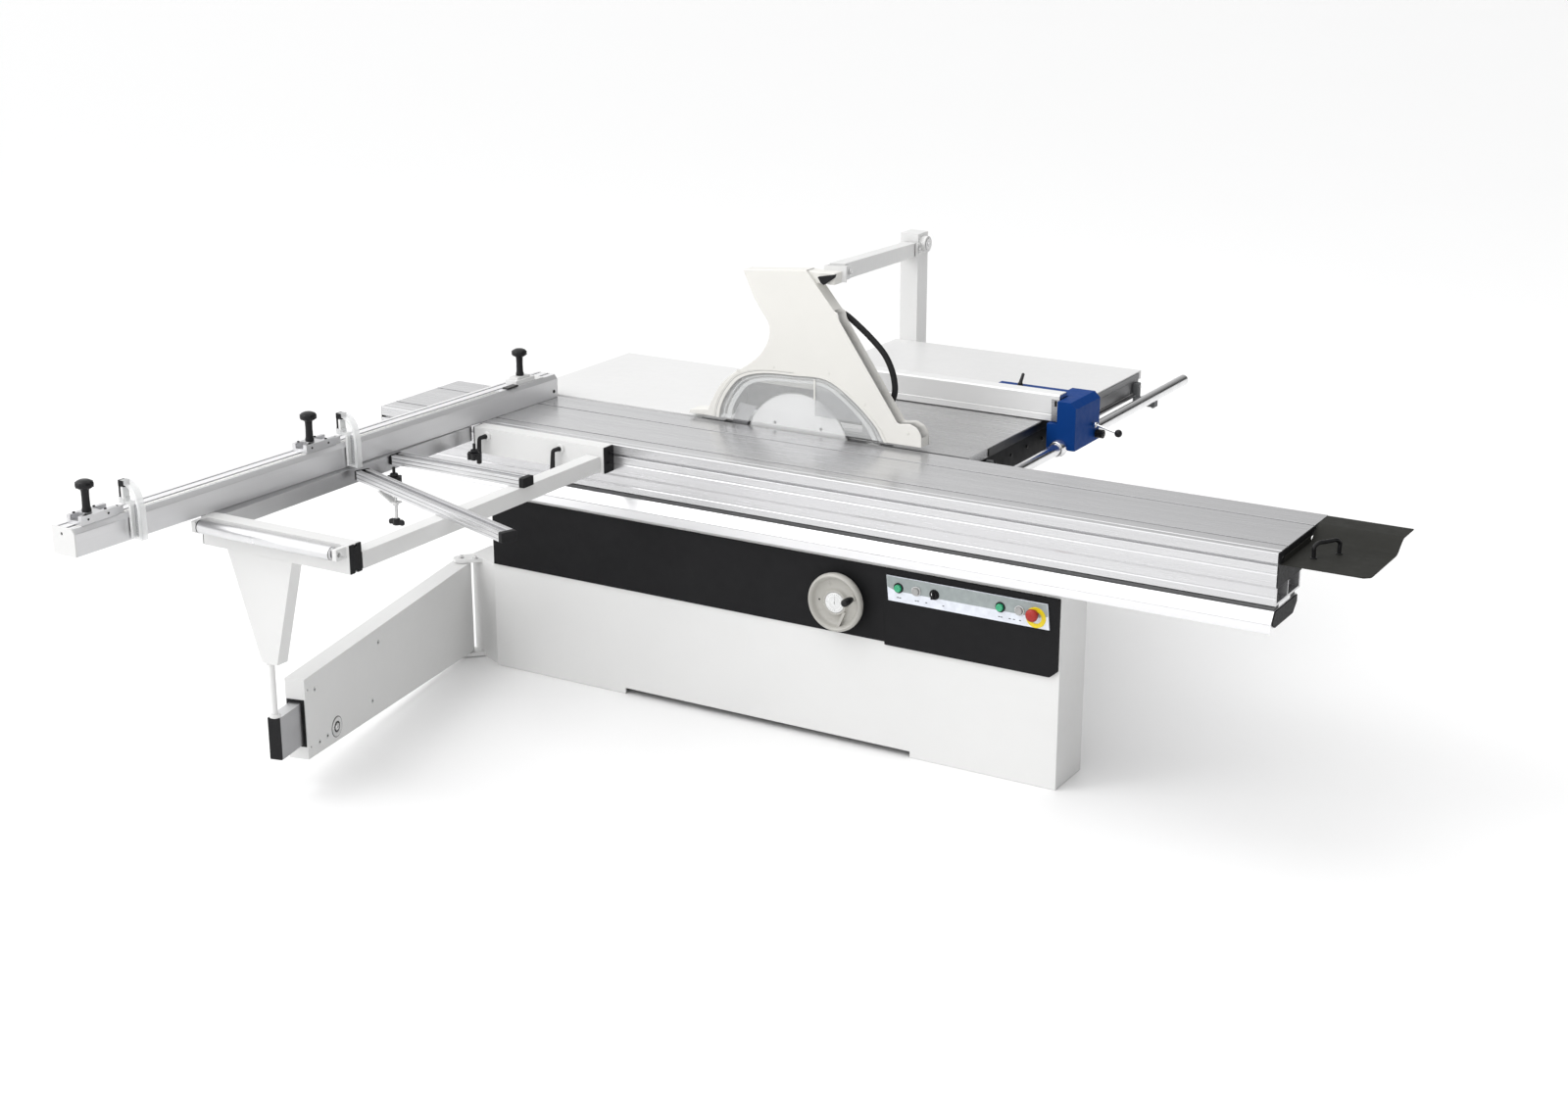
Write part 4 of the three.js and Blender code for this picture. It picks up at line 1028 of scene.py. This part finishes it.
def swing_arm():
    """Screws and hub of the swing arm, the wiper and cap of its telescopic tube, hinge bolts."""
    arm_at = placed(-1108, -403, 0, -76.6)
    face, tip = 32.5, 1184
    sunk, rings = Shape(arm_at), Shape(arm_at)
    for x, z, r in (
        (1123, 293, 6.6), (1112, 118, 6.6), (1061, 118, 6.6), (760, 120, 6.6), (701, 297, 6.6),
        (1165, 306, 3.2), (1165, 122, 3.2),
    ):
        washer = [(0.62, -1), (1.35, -1), (1.35, 0.3), (1.1, 0.7), (0.62, 0.2)]
        rings.lathe("y", (x, z), [(r * share, d) for share, d in washer], 32, face)
        sunk.rod("y", (x, z), r * 0.66, face - 1, face + 0.15, 0.1, 24)
    hub = (1000, 125)
    rings.lathe("y", hub, [(18, -1), (31, -1), (31, 1), (28, 2.6), (22, 2.8), (18, 1)], 64, face)
    rings.lathe("y", hub, [
        (0, -1), (12, -1), (12, 1.4), (10, 3), (4, 3.4), (4, 1.2), (0, 1.2),
    ], 48, face)
    for inner, outer in ((11.5, 18.5), (30.5, 33.5)):
        sunk.lathe("y", hub, [(inner, -1), (outer, -1), (outer, 0.3), (inner, 0.3)], 48, face)
    rings.piece("swing_arm_washers", ZINC, "swing", "white_paint", angle=40)
    sunk.piece("swing_arm_sockets", DARK_STEEL, "swing", "white_paint")
    mouth, hole = rect(-29, 29, 129, 280), rect(-20.7, 20.7, 137.3, 271.7)
    Shape(arm_at).prism("x", mouth, tip, tip + 2.5, [hole]).piece(
        "swing_arm_wiper", CAP, "swing", "white_paint", bevel=0.6)
    Shape(arm_at).prism("x", rounded(rect(-20, 20, 138, 271), 3, 3), 1314, 1319).piece(
        "telescopic_arm_cap", CAP, "telescope", "black_plastic", bevel=1)
    bolts, top = Shape(), 359
    for spot in ((-1108, -403), (-1062, -382)):
        bolts.rod("z", spot, 11, top - 0.2, top + 1.6, 0.3, 36)
        bolts.rod("z", spot, 8, top + 1.5, top + 8, 1, 6)
    bolts.piece("hinge_bolts", ZINC, "base", "white_paint")


# ---------------------------------------------------------------- blade guard and its support

def grown(points, across, up=None):
    """The window's outline scaled about the foot of its arch."""
    up = up or across
    return [(WINDOW_X + (x - WINDOW_X) * across, WINDOW_Z + (z - WINDOW_Z) * up) for x, z in points]


def band(points, inner, outer):
    """Closed outline of the band between two scaled copies of an open path."""
    return grown(points, outer) + grown(points, inner)[::-1]


def blade_guard():
    """Moulded hood with its window frame, the pane, dust chamber, hose and clevis."""
    edge = smooth_path(WINDOW_EDGE, 5)
    moulding = smooth_path(WINDOW_EDGE[4:], 6)
    shell = HOOD_LEFT[:2] + smooth_path(HOOD_LEFT[2:12], 5) + HOOD_LEFT[12:] + HOOD_RIGHT[:1]
    shell += rounded(HOOD_RIGHT, 8, 4)[5:-5] + HOOD_RIGHT[-1:]
    chamber = [(228, 884), (228, 1009), (-268, 1009), (-268, 884)]
    hood = Shape().prism("y", shell + edge, -26.6, -22)
    hood.prism("y", shell + grown(edge, 1.03, 1.02), -22, 22).prism("y", shell + chamber, 22, 28)
    bmesh.ops.remove_doubles(hood.bm, verts=hood.bm.verts, dist=1e-6)
    hood.piece("guard_hood_shell", CREAM, "guard", "cream_paint", ["guard_hood"], 2.2, 50, 3)

    trim = Shape().prism("y", band(edge, 1.002, 1.04), -28.2, -26.2)
    trim.prism("y", band(moulding, 1.065, 1.08), -27.8, -26.2)
    trim.block(74, 79, -26.4, -23, 990, 1058)
    for spot in ((-79, 1082), (-215, 1052), (128, 1086), (262, 1000), (420, 925)):
        trim.rod("y", spot, 5, -26.5, -28.2, 0.8, 24)
    trim.piece("guard_window_frame", CREAM, "guard", "cream_paint", bevel=0.7)
    # Thin grey bands between pane and frame and beside the moulding draw the grey edge lines there: painted
    # shade.
    shade_lines = Shape().prism("y", band(edge, 0.990, 1.003), -26.9, -25.9)
    shade_lines.prism("y", band(moulding, 1.042, 1.049), -27, -26.4)
    shade_lines.piece("guard_window_shade_lines", GREY, "guard", "cream_paint")
    rim = Shape().prism("y", band(edge, 0.86, 0.915), -22.5, -19.5)
    rim.prism("y", band(edge, 0.945, 0.96), -22.5, -21)
    rim.piece("guard_inner_rim", FROST, "guard", "clear_plastic", bevel=0.6)
    # A smoked sheet just behind the inner rim darkens the upper right of the window: painted shade standing
    # in for the darker view there.
    left, low = 76, 935
    shade_panel = [(x, z) for x, z in grown(edge, 0.855) if x > left and z > low]
    shade_panel = [(left, low), (shade_panel[0][0], low), *shade_panel, (left, shade_panel[-1][1])]
    Shape().prism("y", shade_panel, -21.5, -20).piece(
        "guard_window_shade_panel", SMOKE, "guard", "clear_plastic", bevel=0.3)
    pane = [(WINDOW_X + (x - WINDOW_X) * 0.992, max(886, z - 3)) for x, z in edge]
    Shape().prism("y", pane, -25.6, -23.6).piece(
        "guard_window_pane", CLEAR, "guard", "clear_plastic", ["guard_window"])

    wall = [(-276, 27), (-276, 125), (236, 125), (236, 27), (228, 27), (228, 117), (-268, 117), (-268, 27)]
    box = Shape().prism("z", wall, 884, 1010).block(-276, 236, 24, 125, 1009, 1016)
    box.block(30, 142, -14, 36, 1372, 1410)
    box.piece("guard_dust_chamber", CREAM, "guard", "cream_paint", bevel=4, segments=3)
    # Grey sheets on the chamber's end and back walls, and on the hood's rear wall beyond the chamber, darken
    # what is seen through the window: painted shade, not parts of the guard.
    shade_sheets = Shape().block(-267.8, -267, 29, 116.8, 886, 1008)
    shade_sheets.block(-266.8, 227.6, 116, 116.8, 886, 1008)
    shade_sheets.prism("y", [(230, 886), (322, 886), (290, 934), (230, 984)], 21.2, 21.8)
    shade_sheets.piece("guard_chamber_painted_shade", SHADE_GREY, "guard", "cream_paint")

    span = OVERHEAD_SPAN
    clevis = Shape(OVERHEAD_AT)
    cheek = rounded(rect(span - 32, span + 30, -24, 20), 9, 5)
    for y in (-37, 29):
        clevis.prism("y", cheek, y, y + 8, [circle(span - 12, 0, 8.6, 32)])
    clevis.block(span + 22, span + 32, -37, 37, -32, 20)
    clevis.piece("guard_clevis", WHITE, "guard", "cream_paint", bevel=1.5, segments=3)
    wedge = [(86, 1396), (150, 1409), (146, 1398), (108, 1372), (98, 1378)]
    Shape().prism("y", wedge, -27.5, -14.2).piece(
        "guard_clamp_wedge", CAP, "guard", "black_plastic", bevel=1.5, segments=3)

    hose = [
        (128, 29.6, 1275), (128, 38, 1275), (138, 50, 1270), (165, 54, 1254), (236, 54, 1202),
        (292, 54, 1148), (322, 54, 1088), (329, 54, 1032), (316, 50, 992), (312, 38, 984),
        (312, 29.6, 984),
    ]
    pipe = Shape().tube(smooth_path(hose, 9), 10, 28)
    for x, y, z in (hose[0], hose[-1]):
        pipe.rod("y", (x, z), 13, y - 1.4, y + 7.6, 1.5, 36)
    pipe.piece("guard_hose_pipe", RUBBER, "guard", "black_rubber", ["guard_hose"], angle=50)


def overhead_support():
    """Mast boss and bolts, and the nuts on both pins of the overhead arm."""
    boss = [(0, -6.5), (20, -6.5), (22, -5), (22, -2.5), (9, -2.5), (8, 0), (0, 0)]
    Shape().lathe("x", (1412, 1240), boss, 48, -256).piece(
        "mast_boss_cap", ZINC, "base", "white_paint", angle=40)
    bolts = Shape()
    for z in (740, 790, 830):
        for x in (-340, -300):
            cap_screw(bolts, "y", (x, z), 1371.5, 5, -1, 5)
    bolts.piece("mast_bolts", ZINC, "base", "hard_chrome")
    nuts = Shape(OVERHEAD_AT)
    for x, r in ((10, 10), (OVERHEAD_SPAN - 12, 8)):
        for side in (-1, 1):
            nuts.rod("y", (x, 0), r * 1.45, side * 38, side * 40, 0.4, 40)
            nuts.rod("y", (x, 0), r * 1.1, side * 40, side * 46, 1, 6)
    nuts.piece("overhead_pin_nuts", ZINC, "guard_arm", "hard_chrome")


# ---------------------------------------------------------------- rip side, saw unit and backs

def rip_fence():
    """Rip fence extrusion, its end plates and the slotted clamp plate on its side."""
    x0, x1, y0, y1, z0, z1 = extents("rip_fence")
    outline = [
        (y0 + 1, z0), (y1 - 1, z0), (y1, z0 + 1), (y1, z1 - 4), (y1 - 4, z1), (y0 + 5, z1),
        (y0, z1 - 5), (y0, z0 + 26), (y0 + 1, z0 + 25), (y0 + 1, z0 + 22), (y0, z0 + 21), (y0, z0 + 1),
    ]
    core = rounded([(y0 + 5, z0 + 5), (y1 - 5, z0 + 5), (y1 - 5, z1 - 8), (y0 + 8, z1 - 8)], 3)
    Shape().prism("x", outline, x0 + 2.5, x1 - 2.5, [core]).piece(
        "rip_fence_extrusion", RIP_METAL, "rip_rail", "table_paint", ["rip_fence"], 0.6)
    plate = rounded(rect(y0 + 0.4, y1 - 0.4, z0 + 0.4, z1 - 0.8), 5, 4)
    end_pads("rip_fence_end_plates", "rip_rail", plate, x0, x1, 0, 2.5, 0.5, ZINC, "table_paint")
    Shape().prism("y", rect(668, 696, z0 + 3, z1 - 14), y0 - 5, y0 - 0.5,
                  [rect(679, 687, z1 - 40, z1 - 20)]).piece(
        "rip_fence_clamp_plate", GROUND, "rip_rail", "table_paint", bevel=0.8)
    Shape().block(678, 688, y0 - 2.6, y0 - 0.6, z1 - 41, z1 - 19).piece(
        "rip_fence_clamp_slot", CAP, "rip_rail", "table_paint")


def rip_head():
    """Screws, clamp ring, lock lever, fine adjust knob and clamp lever of the blue head."""
    details = Shape()
    for x in (440, 560):
        details.rod("z", (x, 625), 5, 941.8, 944, 0.5, 24)
    details.piece("rip_head_screws", DARK_STEEL, "rip_carrier", "dark_steel")
    ring = [(20.6, 33.3), (28, 33.3), (29, 32), (29, 20.5), (27, 17.5), (26, 2.5), (24, 0), (20.6, 0)]
    Shape().lathe("y", (712, 795), ring, 56, 471.5).piece(
        "rip_head_clamp_ring", CHROME, "rip_carrier", "hard_chrome", angle=35)

    rod = Shape().tube([(766.8, 647, 851), (775.5, 647, 849), (850, 647, 832.2)], 4.3, 24)
    rod.rod("y", (775.5, 849), 9, 639, 655, 2, 36)
    rod.piece("rip_lock_lever_rod", CHROME, "rip_lever", "hard_chrome", ["rip_lock_lever"], angle=50)
    Shape().ball((860, 647, 830), 13, 1, 40).piece(
        "rip_lock_lever_ball", KNOB, "rip_lever", "black_plastic", angle=60)
    axis = (676, 812)
    fine = Shape().prism("x", star(*axis, 15, 12, 0.03), 768, 795)
    fine.rod("x", axis, 10, 765.6, 770).rod("x", axis, 8.5, 793, 797.8, 1.5)
    fine.piece("rip_adjust_knob_grip", KNOB, "rip_knob", "black_plastic", ["rip_adjust_knob"], 1.2)
    lever = Shape().lathe("z", (491, 655), [
        (0, 0), (11, 0), (11, 2.5), (8.6, 10.5), (7.5, 14.5), (0, 15.5),
    ], 40, 942.5)
    path = [(491, 655, 952), (488, 668, 961), (484, 685, 969), (480, 699, 974.5)]
    lever.tube(smooth_path(path, 6), lambda t: 6.5 - 1.4 * t, 20).ball(path[-1], 5.6, 0.9)
    lever.piece("rip_clamp_lever_handle", KNOB, "rip_clamp", "black_plastic", ["rip_clamp_lever"],
                angle=60)


def rip_bar():
    """Round bar with its saddles and bolts, and the plates and strips along both table edges."""
    y_near, y_far = 60, 1600
    end = [(0, 2), (14, 2), (14.5, 0), (18.5, 0), (20, 1.5)]
    profile = end + [(radius, y_far - y_near - d) for radius, d in end[::-1]]
    Shape().lathe("y", (712, 795), profile, 72, y_near).piece(
        "rip_bar_rod", CHROME, "base", "hard_chrome", ["rip_bar"], angle=40)
    saddles = Shape()
    for back, a, b in ((632.4, 106.2, 120), (637.6, 1300, 1330)):
        hook = [(back, 836), (back, 756), (724, 756), (724, 784), (656, 784), (656, 836)]
        saddles.prism("y", hook, a, b)
    saddles.piece("rip_bar_saddles", IRON, "base", "hard_chrome", bevel=2.5, segments=3)
    bolts = Shape()
    for y in (113.1, 1315):
        cap_screw(bolts, "x", (y, 822), 656, 6, 1, 4.5)
        bolts.rod("z", (712, y), 7, 756, 750, 0.8, 6)
    bolts.piece("rip_bar_bolts", ZINC, "base", "hard_chrome")
    edge = Shape().block(637.1, 638.4, 655, 1345, 800, 843.5)
    edge.block(637.1, 652, 655, 1295, 790, 796.5).block(637.1, 641, 655, 1345, 846, 865.5)
    edge.piece("rip_table_edge_profile", EDGE, "base", "table_paint", bevel=0.5)
    side = Shape().block(596, 631.6, 12, 640, 756, 839.5).block(598, 631.9, 660, 668, 756, 788)
    side.piece("rip_side_plate", BLACK, "base", "ground_steel", bevel=1)
    screws = Shape()
    for y in (180, 300, 420, 540):
        cap_screw(screws, "x", (y, 806), 631.6, 5, 1, 4)
    screws.piece("rip_side_screws", DARK_STEEL, "base", "ground_steel")
    Shape().block(632.4, 636.4, 125, 646, 842, 868).piece(
        "steel_table_edge_strip", DARK_STEEL, "base", "ground_steel", bevel=0.6)


def saw_blade(x, z, radius, teeth, gullet):
    """Toothed disc with four holes, in the plane Y = 0."""
    steps = ((0, 0), (0, 0.16), (gullet * 0.4, 0.45), (gullet, 0.72), (gullet * 0.85, 0.94))
    outline = [polar(radius - cut, (i - part) / teeth, x, z) for i in range(teeth) for cut, part in steps]
    spots = [polar(radius * 0.62, (k + 0.5) / 4, x, z) for k in range(4)]
    holes = [circle(*spot, radius * 0.03, 20) for spot in spots]
    return Shape().prism("y", outline, -1.6, 1.6, holes)


def saw_unit():
    """Toothed blades with their hubs, the finned motor and its pulley."""
    arbor_z, score_x, score_z, motor_z = 800, 285, 813, 600
    saw_blade(0, arbor_z, 200, 60, 8).piece("main_blade_plate", BLADE, "blade", "blade_steel", ["main_blade"])
    Shape().lathe("y", (0, arbor_z), [
        (0, -18), (8, -18), (8, -15), (15.5, -15), (16, -14), (16, -8), (34, -8), (36.5, -6),
        (36.5, 12), (15, 12), (15, 176), (32, 176), (32, 180), (29, 184), (29, 192), (32, 196),
        (32, 200), (0, 200),
    ], 64).piece("arbor_and_flanges", ZINC, "blade", "blade_steel", angle=35)
    saw_blade(score_x, score_z, 60, 24, 5).piece(
        "scoring_blade_plate", BLADE, "scorer", "blade_steel", ["scoring_blade"])
    hub = [(0, -9), (9, -9), (9, -6), (20, -6), (20, 12), (8, 12), (8, 52), (0, 52)]
    Shape().lathe("y", (score_x, score_z), hub, 48).piece(
        "scoring_blade_hub", ZINC, "scorer", "blade_steel", angle=35)

    fins, pitch = 14, 11
    profile = [(0, 217), (60, 217), (74, 221), (79, 226)]
    for i in range(fins):
        profile += off(0, 232 + i * pitch, (79.5, 0), (79.5, 3), (70, 4), (70, 10))
    profile += [(79.5, 388), (79.5, 392), (77, 394), (77, 424), (70, 430), (0, 430)]
    motor = Shape().lathe("y", (0, motor_z), profile, 72)
    motor.block(-94, -60, 222, 423, 572, 628).block(30, 111.5, 272, 368, 563, 638)
    motor.piece("motor_finned_body", BLUE, "lift", "blue_paint", ["motor"], 1, segments=1)
    Shape().lathe("y", (0, motor_z), [
        (0, 177), (40, 177), (45, 178), (45, 179), (43.5, 180.5), (43.5, 194.5), (45, 196),
        (45, 198), (12, 198), (12, 214.4), (0, 214.4),
    ], 64).piece("motor_pulley_wheel", IRON, "motor_rotor", "cast_iron", ["motor_pulley"], angle=35)


def cabinet_backs():
    """Service parts behind the machine: door, louvres, dust spigot and table plugs."""
    wall = extents("rear_cabinet")[3]
    Shape().prism("y", rounded(rect(-430, 130, 100, 560), 12), wall, wall + 2.5).piece(
        "rear_door", WHITE, "base", "white_paint", bevel=1)
    fit = Shape()
    for z in (170, 490):
        fit.rod("z", (-430, wall + 4), 5, z - 25, z + 25)
    fit.rod("y", (100, 330), 14, wall + 2, wall + 7, 1.5)
    fit.block(94, 106, wall + 6, wall + 12, 310, 350)
    fit.piece("rear_door_fittings", KNOB, "base", "black_plastic", bevel=1)
    vents = Shape()
    for i in range(9):
        vents.prism("x", off(wall, 180 + i * 34, (2.3, 0), (9, 3), (9, 5), (2.3, 15)), -330, -30)
    vents.piece("rear_door_louvres", WHITE, "base", "white_paint", bevel=0.8)
    spigot = (350, 220)
    Shape().lathe("y", spigot, [
        (56, -1), (78, -1), (78, 3), (60, 4), (60, 55), (61.5, 57), (56, 60),
    ], 64, wall).piece("dust_spigot", ZINC, "base", "white_paint", angle=40)
    # A black disc just inside the spigot stands in for the dark inside of its bore: painted shade.
    Shape().rod("y", spigot, 56, wall + 0.5, wall + 3, 0.2, 64).piece(
        "dust_spigot_shade_disc", CAP, "base", "white_paint")
    plugs = Shape()
    for x in (-330, 590):
        for y in (80, 580):
            plugs.rod("z", (x, y), 6, 869.5, 870.3, 0.2, 24)
    plugs.piece("steel_table_plugs", ZINC, "base", "ground_steel")


for build in (
    camera_and_light, dressed_nodes, slide_rail_and_table, push_plate, controls, handwheel,
    outrigger_frame, outrigger_fittings, crosscut_fence, fence_stops, swing_arm, blade_guard,
    overhead_support, rip_fence, rip_head, rip_bar, saw_unit, cabinet_backs,
):
    build()
